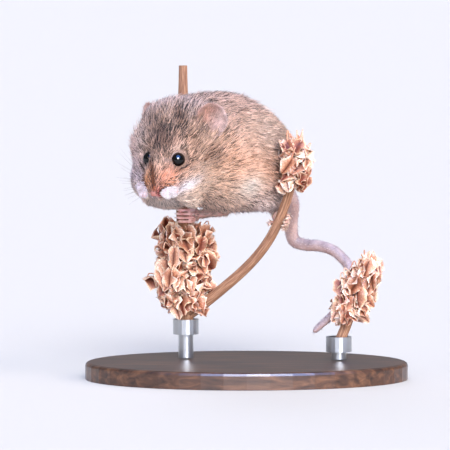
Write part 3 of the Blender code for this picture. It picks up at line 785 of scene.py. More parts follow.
# Each line: its places in the head's frame, half its width, how much it darkens, whether both sides have it
DARK_LINES = (
    (
        ((2.2, -1.7, 1.6), (3.4, -1.0, 1.4), (4.4, -0.5, 0.8), (5.5, -0.1, 0.2), (7.0, 0.2, -1.0)),
        0.74, 0.9, False,
    ),
    # The next three lines are the face's folds: their darkening is painted shade in the creases
    (((2.6, 3.1, -0.85), (2.1, 3.6, -0.75), (1.3, 4.3, -0.6), (-0.1, 5.4, -0.65)), 0.27, 0.9, True),
    (((-2.1, 7.3, -1.35), (-3.6, 8.1, -0.9), (-5.3, 8.7, -0.75)), 0.36, 0.95, True),
    (((-3.2, 7.8, -0.3), (-4.6, 8.2, -0.1)), 0.27, 0.9, True),
    (((-7.6, 1.5, 5.9), (-5.3, 3.3, 5.1)), 0.9, 0.55, False),
    (((-4.5, -0.6, 5.6), (-1.5, 0.2, 4.5)), 0.9, 0.3, False),
)
# The folds, whose dark lines are painted shade
FOLDS = DARK_LINES[1:4]
# A dark line is brown, so it takes more blue away than red
BROWN = np.array([0.86, 1.0, 1.08])
BASE_COLOUR = "c4a796"
# Whisker roots: five in each of four rows, on the pad beside the nose
FOLLICLES = np.array([
    (6.5 - 0.72 * column - 0.1 * row, 1.25 + 0.42 * column + 0.12 * row, -1.0 - 0.55 * row)
    for row in range(4) for column in range(5)
])

# %% [markdown]
# One function gives the colour at any place: it lays the patches over the base colour in turn,
# then darkens what is near a line, which along the folds is painted shade in the creases, then adds
# the dark dots of the whiskers' roots.

# %% Colour at a place
def gap_to_line(points, line):
    """Distance from each point to a line of straight spans: the least over the spans of the distance to
    a + t * (b - a), with t kept between 0 and 1."""
    gaps = []
    for a, b in zip(line[:-1], line[1:]):
        t = np.clip((points - a) @ (b - a) / ((b - a) @ (b - a)), 0, 1)
        gaps.append(np.linalg.norm(points - a - t[:, None] * (b - a), axis=1))
    return np.min(gaps, axis=0)


def markings_and_painted_light(points):
    """Linear colour of coat and skin at each place, with painted shade and painted light where a patch or
    line stands for them.
    """
    spaces = {"head": in_head(points), "body": in_body(points)}
    colour = np.tile(linear(BASE_COLOUR), (len(points), 1))
    head_share = 1 / (1 + np.exp(-(spaces["head"][:, 0] + 10.5) / 1.5))
    head_share *= 1 / (1 + np.exp((np.abs(spaces["head"][:, 1]) - 10.5) / 0.8))
    for space, centre, radii, paint_colour, strength in MARKINGS_AND_PAINTED_LIGHT:
        share = strength * falloff(spaces[space], centre, radii) ** 0.7
        share *= head_share if space == "head" else 1 - 0.85 * head_share
        colour += (linear(paint_colour) - colour) * share[:, None]
    face = spaces["head"].copy()
    face[:, 1] = np.abs(face[:, 1])
    # Along the folds this darkening is painted shade in the creases; elsewhere it is dark hair
    for line, width, strength, both in DARK_LINES:
        gap = gap_to_line(face if both else spaces["head"], np.array(line))
        colour *= 1 - strength * np.exp(-(gap / width) ** 2)[:, None] * BROWN
    close = np.flatnonzero(falloff(face, (4.8, 2.2, -1.9), (2.4, 1.6, 1.8)) > 0.1)
    if len(close):
        dots = np.exp(-((face[close, None] - FOLLICLES) ** 2).sum(-1) / 0.17 ** 2).max(1)
        colour[close] *= 1 - 0.55 * dots[:, None]
    return colour

# %% [markdown]
# The skin takes the markings with their painted shade and light, and two rings round each eye: a
# dark one at the very edge of the lids, and a pale pink one outside it. The nose pad is bare and pink.

# %% Paint the skin
skin_colour = markings_and_painted_light(skin_places)
for side in (1, -1):
    eye_distance = from_eye(skin_head, side)[0]
    ring = np.exp(-((eye_distance - EYE_RADIUS - 0.25) / 0.22) ** 2)[:, None]
    skin_colour += (linear("e6ccc6") - skin_colour) * ring * 0.9
    ring = np.exp(-((eye_distance - EYE_RADIUS - 0.02) / 0.12) ** 2)[:, None]
    skin_colour += (linear("2c2322") - skin_colour) * ring * 0.9
pad = falloff(skin_head, (7.6, 0.1, -1.85), (0.8, 0.8, 0.5))[:, None]
skin_colour += (linear("c9867c") - skin_colour) * np.clip(pad * 1.6, 0, 1)
paint(skin_mesh, "markings_and_painted_light", skin_colour)

# %% [markdown]
# Little of the skin shows, only between tufts and on the lids and the nose. It carries the same
# markings, painted shade and painted light as the coat, so that a gap between tufts never flashes
# another colour. An image could hold these colours, but a colour on each vertex goes with the mesh
# and needs no map.

# %% Skin material
# Skin under fur is matt and dusty, with the roots' darker tone showing between the hairs
skin_material, tree, shader = new_material("mouse skin under fur", Roughness=0.75, Specular_IOR_Level=0.3)
painted = add(tree, "ShaderNodeVertexColor", layer_name="markings_and_painted_light").outputs["Color"]
place = add(tree, "ShaderNodeTexCoord").outputs["Object"]
speckle = add(tree, "ShaderNodeTexNoise", {"Vector": place, "Scale": 2600.0, "Detail": 4.0}).outputs["Fac"]
tones = ((0.3, "6c6661"), (0.7, "d8d4d0"))
tone = add(tree, "ShaderNodeValToRGB", {"Fac": speckle}, stops=tones).outputs["Color"]
mixed = add(
    tree, "ShaderNodeMix", {"Factor": 0.75, 6: painted, 7: tone}, data_type="RGBA", blend_type="MULTIPLY"
)
tree.links.new(mixed.outputs[2], shader.inputs["Base Color"])
bump = add(tree, "ShaderNodeBump", {"Height": speckle, "Strength": 0.35, "Distance": 0.00006})
tree.links.new(bump.outputs["Normal"], shader.inputs["Normal"])
piece("skin", skin_mesh, skin_material, FLESH)
skin_tree = BVHTree.FromPolygons([tuple(p) for p in skin_places], [tuple(f) for f in triangles_of(skin_mesh)])
print("skin box:", skin_places.min(0).round(1), skin_places.max(0).round(1))

# %% [markdown]
# The coat could be particle hair, but hair doesn't survive an export, so every tuft is a small
# closed spike of mesh. A tuft has three sides and two rings, a fifth of a millimetre wide at
# the root, and ends in a point. Its middle and its tip are placed over the skin where the lie of
# the coat takes them, so the coat follows every curve of the body.
#
# First comes the lie: away from the nose over the face and crown, round the eyes without
# crossing them, then back along the trunk and a little down the flanks.

# %% The lie of the coat
NOSE_SOURCE = np.array([9.5, 0.0, -2.8])


def lie(points, normals):
    """Unit direction along the skin in which the hair at each place lies."""
    head = in_head(points)
    body = in_body(points)
    on_face = head - NOSE_SOURCE
    on_face[:, 2] *= 1.1
    on_face = unit(on_face)
    for side in (1, -1):
        centre = np.array([0, side * EYE_SPREAD, 0])
        away = head - centre
        distance = np.linalg.norm(away, axis=1)
        away = away / np.maximum(distance, 1e-6)[:, None]
        crossing = (on_face * away).sum(1)
        pull = np.clip((1.9 / np.maximum(distance, 0.5)) ** 2, 0, 1)
        pull *= distance < 4.5
        on_face = on_face - away * (crossing * pull)[:, None] + away * (0.45 * pull)[:, None]
    on_face = unit(on_face) @ HEAD_AXES
    sideways = np.tanh(body[:, 1] / 4)
    downward = 0.25 + 0.075 * np.clip(6 - body[:, 2], 0, 11)
    along = np.stack([np.full(len(points), -1.0), 0.12 * sideways, -downward * np.abs(sideways)], 1)
    along[:, 2] -= 0.35 * smoothstep(-body[:, 0], 6, 15)
    on_body = unit(along) @ BODY_AXES
    share = smoothstep(head[:, 0], -13.5, -7.5)[:, None]
    flow = on_face * share + on_body * (1 - share)
    below = smoothstep(34.0 - points[:, 2], 0, 3)[:, None]
    flow = flow * (1 - below) + np.array([0.0, -0.3, -1.0]) * below
    flow = flow - normals * (flow * normals).sum(1, keepdims=True)
    return unit(flow)


# %% [markdown]
# Roots are scattered over the skin at random, more closely on the face, where the tufts are
# smallest. Places that have no coat are left out: the eyes, the tip of the nose and the bowl of
# each ear.

# %% Roots
def scatter(points, triangles, density):
    """Random places on a surface, so many to a square millimetre, with the triangle that each is on."""
    a, b, c = (points[triangles[:, k]] for k in range(3))
    area = np.linalg.norm(np.cross(b - a, c - a), axis=1) / 2
    wanted = area * density((a + b + c) / 3)
    count = np.floor(wanted + RANDOM.random(len(wanted))).astype(int)
    which = np.repeat(np.arange(len(triangles)), count)
    u, v = RANDOM.random(len(which)), RANDOM.random(len(which))
    over = u + v > 1
    u, v = np.where(over, 1 - u, u), np.where(over, 1 - v, v)
    place = a[which] + (b[which] - a[which]) * u[:, None] + (c[which] - a[which]) * v[:, None]
    return place, which


def on_the_face(points):
    """0 on the trunk, 1 on the muzzle and round the eyes."""
    return smoothstep(in_head(points)[:, 0], -8.0, 1.5)


def coat_density(points):
    """Tufts to a square millimetre."""
    head = in_head(points)
    density = 48 + 13 * smoothstep(head[:, 0], -13.5, -8.5) + 38 * on_the_face(points)
    return np.where(points[:, 2] < 33, 48, density)


def has_coat(points):
    """False on the eyes and their rims, on the tip of the nose and in the bowl of each ear."""
    head = in_head(points)
    kept = falloff(head, (7.6, 0, -2.1), (0.7, 0.9, 0.5)) < 0.6
    for side in (1, -1):
        distance, angle = from_eye(head, side)
        kept &= ~((distance < EYE_RADIUS + 0.55) & (angle < RIM_ANGLES[side] + 0.03))
        kept &= distance > EYE_RADIUS - 0.05
    for which in EARS:
        share, depth = in_ear(head, which)
        kept &= ~((share < 0.98) & (depth > -2.2) & (depth < 1.5))
    return kept


skin_triangles = triangles_of(skin_mesh)
corner_normals = vertex_normals(skin_mesh)
roots, root_faces = scatter(skin_places, skin_triangles, coat_density)
root_normals = unit(corner_normals[skin_triangles[root_faces]].mean(1))
kept = has_coat(roots)
roots, root_normals = roots[kept], root_normals[kept]
print("tufts:", len(roots))

# %% [markdown]
# A harvest mouse's coat is short and dense, and each tuft shows less than 4 mm of it. The tufts
# get shorter and finer towards the nose, the eyes and the feet. About half of them are over
# hairs, thinner and lifted higher than the woolly under hairs, and a few are guard hairs, which
# stand out at the outline. A real coat has many more hairs, each a twentieth of a millimetre
# thick, so a tuft is drawn as coarse as it needs to be to show.

# %% Tuft sizes
TUFT_LENGTH = 3.8
TUFT_WIDTH = 0.225
OVER_HAIRS = 0.47
GUARD_HAIRS = 0.04
root_head = in_head(roots)
root_body = in_body(roots)
facing = on_the_face(roots)
muzzle = falloff(root_head, (5.6, 0, -2.2), (3.0, 2.6, 2.4))
eye_gap = np.minimum(from_eye(root_head, 1)[0], from_eye(root_head, -1)[0]) - EYE_RADIUS
near_eye = np.exp(-(eye_gap / 1.0) ** 2)
legs = smoothstep(34.0 - roots[:, 2], 0, 2.5)
on_cheeks = falloff(root_head[:, [0, 2]], (-1.5, -1.0), (5.5, 4.5))
on_cheeks *= smoothstep(np.abs(root_head[:, 1]), 4.5, 6)
on_head_part = smoothstep(root_head[:, 0], -13.5, -8.5)
layer = RANDOM.random(len(roots))
over_coat = layer < OVER_HAIRS
guard = layer < GUARD_HAIRS + 0.12 * on_cheeks
length = TUFT_LENGTH - 0.9 * on_head_part - 0.75 * facing - 1.2 * muzzle * facing
length = length * (1 - 0.58 * near_eye) * (1 - 0.6 * legs)
length *= RANDOM.uniform(0.7, 1.15, len(roots))
width = TUFT_WIDTH - 0.03 * on_head_part - 0.045 * facing - 0.04 * muzzle
width = width * (1 - 0.3 * near_eye) * RANDOM.uniform(0.75, 1.15, len(roots))
width = np.where(over_coat, width * 0.68, width)
lift = coat_depth(roots) * np.where(
    over_coat, RANDOM.uniform(0.95, 1.5, len(roots)), RANDOM.uniform(0.45, 0.85, len(roots))
)
lift *= 1 - 0.35 * near_eye
lift = np.where(guard, lift * (1.45 + 0.7 * on_cheeks), lift * (1 + 0.5 * on_cheeks))
width = np.where(guard, width * 0.75, width)
print("mean tuft in mm:", length.mean().round(2), "long,", width.mean().round(3), "wide")

# %% [markdown]
# Neighbouring hairs lean together, in locks a millimetre or two wide, so each tuft's way is
# turned a little by a smooth wave over the skin, and by a small random angle of its own. A fold in
# the face parts the hair, so a hair that would cross one ends there.

# %% Locks
def waver(points, scale, seed):
    """A smooth random value from about -1 to 1: a sum of sines with random directions and phases."""
    draw = np.random.default_rng(seed)
    total = np.zeros(len(points))
    for _ in range(6):
        direction = unit(draw.normal(size=3)) * draw.uniform(0.7, 1.4) * 2 * np.pi / scale
        total += np.sin(points @ direction + draw.uniform(0, 2 * np.pi))
    return total / 3


flow = lie(roots, root_normals)
swing = 0.15 * waver(roots, 2.6, 1) + 0.12 * waver(roots, 1.1, 2)
swing += RANDOM.normal(0, 1, len(roots)) * np.where(over_coat, 0.17, 0.1)
sideways = np.cross(root_normals, flow)
flow = unit(flow * np.cos(swing)[:, None] + sideways * np.sin(swing)[:, None])

# A hair that would cross a crease ends in it
for line, line_width, _, both in FOLDS:
    limit = np.ones(len(roots))
    for share in (0.9, 0.75, 0.6, 0.45, 0.3):
        at = in_head(roots + flow * (length * share)[:, None])
        at[:, 1] = np.abs(at[:, 1])
        limit = np.where(gap_to_line(at, np.array(line)) < line_width * 0.8, share, limit)
    at = root_head.copy()
    at[:, 1] = np.abs(at[:, 1])
    length *= np.where(gap_to_line(at, np.array(line)) < line_width, 0.6, limit)

# %% [markdown]
# An agouti coat is two layers: a soft woolly one, and over it longer hairs, some with dark tips and
# some with pale ones. Each over hair draws a number, pushed up or down by a smooth wave over the
# coat, so that dark and pale ones gather in locks. The white parts of the coat vary much less, and
# the guard hairs are pale, because light shines through them at the outline.

# %% Light and dark hairs
brightness = markings_and_painted_light(roots + flow * (length * 0.6)[:, None]).mean(1)
dark_share = np.interp(brightness, [0.12, 0.25, 0.42, 0.75], [0.6, 0.5, 0.31, 0.16]) + 0.08 * muzzle
contrast = np.interp(brightness, [0.12, 0.25, 0.42, 0.75], [1.15, 1.12, 0.95, 0.6])
draw_shade = RANDOM.random(len(roots)) + 0.26 * waver(roots, 1.3, 5) + 0.12 * waver(roots, 4.5, 6)
dark = draw_shade < dark_share
over_shade = np.where(dark, RANDOM.uniform(0.1, 0.34, len(roots)), RANDOM.uniform(1.35, 2.7, len(roots)))
under_shade = 0.97 + 0.32 * waver(roots, 1.3, 5) + RANDOM.uniform(-0.35, 0.35, len(roots))
shade = np.where(over_coat, over_shade, np.clip(under_shade, 0.45, 1.5)) ** contrast
shade = np.where(guard, RANDOM.uniform(1.0, 1.7, len(roots)), shade)
# Painted light: the tufts on both flanks are brightened, as if more light fell on them
painted_flank_light = falloff(np.abs(root_body), (1, 8, 0.5), (11, 6, 6))
shade = shade * (1 + 0.4 * painted_flank_light)
print("dark over hairs:", round((dark & over_coat).mean(), 2))

# %% [markdown]
# The tip's place is found on the skin itself: a step along the lie, then the nearest point of
# the skin, then up by the tuft's lift. A thousand tufts or a hundred thousand take the same few
# lines.

# %% Tuft centre lines
def laid(points):
    """The nearest places on the skin, and its normals there."""
    found = [skin_tree.find_nearest(Vector(p)) for p in points]
    place = np.array([f[0] for f in found])
    normal = np.array([f[1] for f in found])
    return place, normal


middle_place, middle_normal = laid(roots + flow * (length * 0.5)[:, None])
tip_place, tip_normal = laid(roots + flow * length[:, None])
middles = middle_place + middle_normal * (lift * 0.62)[:, None]
tips = tip_place + tip_normal * (lift * RANDOM.uniform(0.75, 1.15, len(roots)))[:, None]
starts = roots - root_normals * 0.06

# Hairs that would end inside an ear's bowl ride over its front edge instead, as a fringe
for which in EARS:
    opens = ear_frame(which)[1] @ HEAD_AXES
    share, depth = in_ear(in_head(tips), which)
    fringe = (share < 1.12) & (depth < 1.5) & (depth > -3.5)
    over = np.where(fringe, RANDOM.uniform(0.3, 1.1, len(roots)), 0)[:, None]
    over = over * (1.0 if which == "left" else 0.3)
    level = np.where(fringe, in_ear(root_head, which)[1], 0)[:, None]
    climb = np.clip(0.25 - level, 0, 2) if which == "left" else 0 * level
    reach = length * (1.15 if which == "left" else 0.72)
    riding = roots + flow * reach[:, None] + opens * (climb + over)
    half_way = roots + flow * (reach * 0.5)[:, None] + opens * (climb * 0.7 + over)
    tips = np.where(fringe[:, None], riding, tips)
    middles = np.where(fringe[:, None], half_way, middles)

# %% [markdown]
# Each centre line now gets its body. A tuft could be a flat card with a picture of hairs, but that
# needs an image and vanishes edge on. A spike with three sides costs ten triangles and keeps its
# width from every side.

# %% Spikes
def spikes(starts, middles, tips, widths, normals):
    """Three-sided spikes: a ring at the root, a slightly wider ring at the middle, and a point.
    Gives points, triangles, and each point's place across and along the spike."""
    count = len(starts)
    along = unit(tips - starts)
    side = unit(np.cross(normals, along))
    up = np.cross(along, side)
    points = np.empty((count, 7, 3))
    for k in range(3):
        angle = 2 * math.pi * k / 3 + math.pi / 2
        out = side * math.cos(angle) + up * (0.55 * math.sin(angle))
        points[:, k] = starts + out * (widths * 0.4)[:, None]
        points[:, 3 + k] = middles + out * (widths * 0.55)[:, None]
    points[:, 6] = tips
    one = []
    for k in range(3):
        j = (k + 1) % 3
        one += [(k, j, 3 + j), (k, 3 + j, 3 + k), (3 + k, 3 + j, 6)]
    one.append((2, 1, 0))
    triangles = (np.arange(count)[:, None, None] * 7 + np.array(one)).reshape(-1, 3)
    across_of = np.array([0.0, 0.5, 1.0, 0.0, 0.5, 1.0, 0.5])
    along_of = np.array([0.0, 0.0, 0.0, 0.5, 0.5, 0.5, 1.0])
    return points.reshape(-1, 3), triangles, across_of, along_of


TUFT_POINTS = 7


def tuft_colours(root, middle, tip, shades):
    """A slaty root, the full colour, and a tip that goes further to dark or to pale. The three colours
    given are the marks, painted shade and painted light where those parts of the tuft lie, so that a
    mark keeps its place."""
    paler = 0.55 + 0.32 * root.mean(1, keepdims=True)
    root = root * paler * shades[:, None] ** 0.5 * np.array([0.95, 1.0, 1.06])
    middle = middle * shades[:, None]
    tip = tip * (shades[:, None] ** 1.35)
    full = np.stack([root] * 3 + [middle] * 3 + [tip], 1).reshape(-1, 3)
    kept = np.minimum(1, 0.92 / full.max(1, keepdims=True))
    full = full * kept
    return np.clip(full + (0.92 - full) * (1 - kept) * 0.5, 0.004, 0.92)


def unwrap(points):
    """A flat place for each root: the turn about the trunk's long axis, and the way along it."""
    body = in_body(points)
    turn = np.arctan2(body[:, 1], body[:, 2]) / (2 * np.pi) + 0.5
    along = (body[:, 0] + 25) / 50
    tilt = (points[:, 2] - 20) / 60
    return np.stack([turn, along * 0.8 + tilt * 0.2], 1)


# %% [markdown]
# The tufts' colours are on their points, so the material only adds a fine streak, a dull
# roughness and a trace of sheen. Each tuft also gets a patch of its own on a bake map, at its
# root's place on an unwrap of the trunk, so that its colours can be baked to an image.

# %% Coat material
# Keratin hair over a slaty underfur: dull, with a soft sheen where the light grazes it
coat_material, tree, shader = new_material(
    "agouti mouse fur", Roughness=0.6, Specular_IOR_Level=0.15, Sheen_Weight=0.06, Sheen_Roughness=0.4
)
painted = add(tree, "ShaderNodeVertexColor", layer_name="markings_and_painted_light").outputs["Color"]
place = add(tree, "ShaderNodeTexCoord").outputs["Object"]
streak = add(tree, "ShaderNodeTexNoise", {"Vector": place, "Scale": 900.0, "Detail": 2.0}).outputs["Fac"]
tones = ((0.3, "e2deda"), (0.7, "ffffff"))
tone = add(tree, "ShaderNodeValToRGB", {"Fac": streak}, stops=tones).outputs["Color"]
mixed = add(
    tree, "ShaderNodeMix", {"Factor": 0.6, 6: painted, 7: tone}, data_type="RGBA", blend_type="MULTIPLY"
)
tree.links.new(mixed.outputs[2], shader.inputs["Base Color"])


def write_tufts(name, spike_set, colours, flat):
    """A mesh of tufts with their colours, and a bake map where each tuft is a small patch of its own."""
    points, triangles, across_of, along_of = spike_set
    mesh = mesh_from(name, points, triangles)
    paint(mesh, "markings_and_painted_light", colours)
    flat = 0.01 + 0.98 * (flat - flat.min(0)) / np.maximum(np.ptp(flat, axis=0), 1e-6)
    local = np.stack([across_of - 0.5, along_of - 0.5], 1) * 0.003
    corners = triangles.ravel()
    uv = flat[corners // TUFT_POINTS] + local[corners % TUFT_POINTS]
    mesh.uv_layers.new(name="OFBake").data.foreach_set("uv", uv.astype(np.float32).ravel())
    return mesh


def coat_piece(name, chosen, material):
    """One piece of the coat from the chosen tufts."""
    spike_set = spikes(starts[chosen], middles[chosen], tips[chosen], width[chosen], root_normals[chosen])
    marks = [markings_and_painted_light(places[chosen]) for places in (starts, middles, tips)]
    colours = tuft_colours(*marks, shade[chosen])
    return piece(name, write_tufts(name, spike_set, colours, unwrap(roots[chosen])), material)


# %% [markdown]
# One mesh of all the tufts would be too heavy to bake, so the coat is shared out among pieces by
# place: legs, muzzle, crown, cheeks and jaws, and the trunk's back, shoulders, flanks and belly,
# most of them with a left and a right piece. The first test that a tuft passes decides.

# %% The coat
behind = root_head[:, 0] < -9.5
left_side = root_body[:, 1] > 0
upper = root_body[:, 2] > 3.0
rear = root_body[:, 0] < -2
COAT_PARTS = {
    "coat_legs": roots[:, 2] < 32.5,
    "coat_muzzle_left": ~behind & (root_head[:, 0] > 1.2) & (root_head[:, 1] > 0),
    "coat_muzzle_right": ~behind & (root_head[:, 0] > 1.2),
    "coat_crown": ~behind & (root_head[:, 2] > 2.2),
    "coat_cheek_left": ~behind & (root_head[:, 1] > 0) & (root_head[:, 2] > -2.2),
    "coat_jaw_left": ~behind & (root_head[:, 1] > 0),
    "coat_cheek_right": ~behind & (root_head[:, 2] > -2.2),
    "coat_jaw_right": ~behind,
    "coat_back_left": upper & rear & left_side,
    "coat_back_right": upper & rear,
    "coat_shoulder_left": upper & left_side,
    "coat_shoulder_right": upper,
    "coat_flank_left": rear & left_side,
    "coat_flank_right": rear,
    "coat_belly_left": left_side,
    "coat_belly_right": np.ones(len(roots), bool),
}
remaining = np.ones(len(roots), bool)
for name, test in COAT_PARTS.items():
    chosen = remaining & test
    remaining &= ~chosen
    if chosen.any():
        coat_piece(name, chosen, coat_material)

# %% [markdown]
# A fold in a mouse's face shows as a dark line: shade falls into the crease, and the hairs on its
# two sides meet there with their slaty roots. Thin dark hairs laid along each fold paint that line,
# as painted shade over the roots' own tone.

# %% Fold hairs of painted shade
fold_starts, fold_ends = [], []
for line, line_width, _, _ in FOLDS:
    for side in (1, -1):
        folded = smooth_path([mirrored(place, side) for place in line], 12)
        step = RANDOM.integers(0, len(folded) - 4, 80)
        aside = RANDOM.normal(0, line_width * 0.22, (80, 3))
        fold_starts.append(on_head(folded[step] + aside))
        fold_ends.append(on_head(folded[step + 4] + aside))
fold_starts, fold_ends = np.concatenate(fold_starts), np.concatenate(fold_ends)
start_place, start_normal = laid(fold_starts)
middle_place, middle_normal = laid((fold_starts + fold_ends) / 2)
end_place, end_normal = laid(fold_ends)
raised = coat_depth(start_place) * RANDOM.uniform(0.7, 1.15, len(start_place))
spike_set = spikes(
    start_place + start_normal * 0.1, middle_place + middle_normal * raised[:, None],
    end_place + end_normal * raised[:, None], np.full(len(raised), 0.11), start_normal,
)
# Painted shade: the fold hairs are dark brown to stand for the shade in each crease
fold_shade_colour = np.tile(linear("4a362d"), (len(raised), 1))
fold_shade_colours = tuft_colours(fold_shade_colour, fold_shade_colour, fold_shade_colour, RANDOM.uniform(0.6, 1.2, len(raised)))
piece(
    "coat_fold_shade", write_tufts("coat_fold_shade", spike_set, fold_shade_colours, unwrap(start_place)), coat_material,
)

# %% [markdown]
# A harvest mouse's eye is a bulging black bead: the iris is so dark that no pupil shows. A painted
# spot would look dead, so the eye is a smooth ball with the gloss of water, and it mirrors the
# white cloud and the blue sky of the lights.

# %% Eyes
# Wet cornea over a black iris: nearly all its light is the mirrored sky
eye_material = new_material("wet black eye", Base_Color=rgba("040304"), Roughness=0.03, IOR=1.42)[0]
for side, name in ((1, "left"), (-1, "right")):
    ball = egg(on_head(mirrored((0, EYE_SPREAD, 0), side)), [EYE_RADIUS] * 3, HEAD_AXES, sides=64, rows=40)
    mesh = mesh_from(f"eye_{name}", *ball)
    outward(mesh)
    piece(f"eyeball_{name}", mesh, eye_material, [f"eye_{name}"])

# %% [markdown]
# Each ear is a thin cup that opens forward and outward. One function of two numbers gives it:
# how far from the root to the rim, and how far round. The outer face runs from the root to the
# rim, the rim rolls over, and the inner face runs back down. Folds inside are soft ridges.

# %% Ears
def ear_surface(which, rows=24, columns=80):
    """Points of the cup: middle + across * W * r * cos t + rises * H * r * sin t - opens * D * cos s, with
    r = sin(s) to the power 0.8. s runs from root to rim outside, then back inside, where folds lift it."""
    middle, opens, rises, across = ear_frame(which)
    run = np.concatenate([np.linspace(0.06, 1, rows), np.linspace(1, 0.06, rows)])[:, None]
    inner = np.repeat([0.0, 1.0], rows)[:, None]
    t = np.linspace(0, 2 * np.pi, columns, endpoint=False)[None, :]
    s = run * np.pi / 2
    reach = np.sin(s) ** 0.8 * (1 - inner * 0.05 * run)
    scallop = 1 + 0.02 * np.sin(3 * t + 0.7) + 0.015 * np.sin(7 * t)
    fold = 0.24 * np.exp(-((run - 0.62) / 0.1) ** 2) * np.clip(np.cos(t + 0.6), 0, 1)
    fold = fold + 0.2 * np.exp(-((run - 0.4) / 0.09) ** 2) * np.clip(np.cos(t - 2.2), 0, 1)
    fold = fold + 0.05 * np.sin(t * 9) * np.sin(s) * (1 - run) * 2
    roll = 0.12 * np.exp(-((run - 0.96) / 0.05) ** 2)
    depth = -EAR_DEPTH * np.cos(s) + inner * (EAR_SKIN * (1 - 0.5 * run) + fold + roll)
    points = (
        middle
        + across * (EAR_HALF_WIDTH * reach * scallop * np.cos(t))[..., None]
        + rises * (EAR_HALF_HEIGHT * reach * scallop * np.sin(t))[..., None]
        + opens * (depth + 0 * t)[..., None]
    )
    return EYES_MIDDLE + points @ HEAD_AXES


# Thin living skin: light comes through it, and a web of fine wrinkles breaks its shine
ear_material, tree, shader = new_material(
    "thin ear skin", Roughness=0.55, Specular_IOR_Level=0.35, Subsurface_Weight=0.3, Subsurface_Scale=0.0006
)
shader.inputs["Subsurface Radius"].default_value = (1.0, 0.35, 0.25)
place = add(tree, "ShaderNodeTexCoord").outputs["Object"]
mottle = add(tree, "ShaderNodeTexNoise", {"Vector": place, "Scale": 900.0, "Detail": 5.0}).outputs["Fac"]
tones = ((0.3, "ae8077"), (0.7, "dab7b0"))
tone = add(tree, "ShaderNodeValToRGB", {"Fac": mottle}, stops=tones).outputs["Color"]
tree.links.new(tone, shader.inputs["Base Color"])
fine = add(tree, "ShaderNodeTexNoise", {"Vector": place, "Scale": 6000.0, "Detail": 3.0}).outputs["Fac"]
bump = add(tree, "ShaderNodeBump", {"Height": fine, "Strength": 0.3, "Distance": 0.00004})
tree.links.new(bump.outputs["Normal"], shader.inputs["Normal"])
ear_meshes = {}
for which in EARS:
    mesh = mesh_from(f"ear_{which}", *closed_grid(ear_surface(which)))
    outward(mesh)
    ear_meshes[which] = mesh
    piece(f"pinna_{which}", mesh, ear_material, [f"ear_{which}"])

# %% [markdown]
# Short hairs on bare parts don't need to follow the skin round a curve. Each one is a nearly
# straight spike that leans from the surface towards the way it grows. The same function serves
# ears, lids, paws, feet and tail.

# %% Short hairs
def all_like(values):
    """A function that gives the same row of values at every point."""
    return lambda points: np.tile(values, (len(points), 1))


def hairs_of(long, wide):
    """A function that gives the same length and width to every hair."""
    return lambda points: (np.full(len(points), long), np.full(len(points), wide))


def short_hairs(name, mesh, density, size, towards, rise, colour, spread=0.25, tones=(0.55, 1.0, 1.35)):
    """Spikes on a mesh. density, size, towards and colour are functions of the roots: hairs to a square
    mm, (length, width), a direction, and a linear colour. rise is how far each leans out, 0 to 1."""
    places, triangles = coordinates(mesh), triangles_of(mesh)
    normals = vertex_normals(mesh)
    root, face = scatter(places, triangles, density)
    normal = unit(normals[triangles[face]].mean(1))
    along = towards(root)
    along = along - normal * (along * normal).sum(1, keepdims=True)
    along = unit(along + RANDOM.normal(0, spread, root.shape))
    long, wide = size(root)
    long = long * RANDOM.uniform(0.6, 1.2, len(root))
    wide = wide * RANDOM.uniform(0.7, 1.2, len(root))
    lean = rise * RANDOM.uniform(0.5, 1.2, (len(root), 1))
    way = unit(along + normal * lean)
    bend = unit(along + normal * lean * 0.4)
    middle = root + way * (long * 0.5)[:, None]
    tip = middle + bend * (long * 0.5)[:, None]
    spike_set = spikes(root - normal * 0.03, middle, tip, wide, normal)
    tone = RANDOM.choice(tones, len(root), p=[0.25, 0.4, 0.35])
    shown = colour(root)
    mesh = write_tufts(name, spike_set, tuft_colours(shown, shown, shown, tone), unwrap(root))
    return piece(name, mesh, coat_material)


# %% [markdown]
# An ear isn't bare: pale hairs line its bowl and stick out past its rim, and the coat's own hairs
# cover its back. Four small functions say how thick, how long, which way and what colour.

# %% Ear hairs
def on_ears_back(share, depth):
    """True on the outer wall of the cup, where the depth is less than -D * sqrt(1 - share^2.5)."""
    return depth < -EAR_DEPTH * np.sqrt(np.clip(1 - share ** 2.5, 0, 1)) + 0.12


def ear_hair_density(which):
    """Thick on the rim and on the back of the ear, sparser in the bowl."""
    def density(points):
        share, depth = in_ear(in_head(points), which)
        return np.where(on_ears_back(share, depth), 70, 60) + 50 * smoothstep(share, 0.82, 0.98)
    return density


def ear_hair_size(which):
    """Long in the bowl and short at the rim."""
    def size(points):
        share, _ = in_ear(in_head(points), which)
        long = 1.7 - 1.05 * smoothstep(share, 0.6, 0.95)
        return long * (1.4 if which == "right" else 1), 0.07 + 0 * share
    return size


def ear_hair_way(which):
    """Away from the foot of the ear."""
    middle, opens, rises, _ = ear_frame(which)
    base = on_head(middle - rises * EAR_HALF_HEIGHT * 0.9 - opens * 0.8)
    return lambda points: unit(points - base)


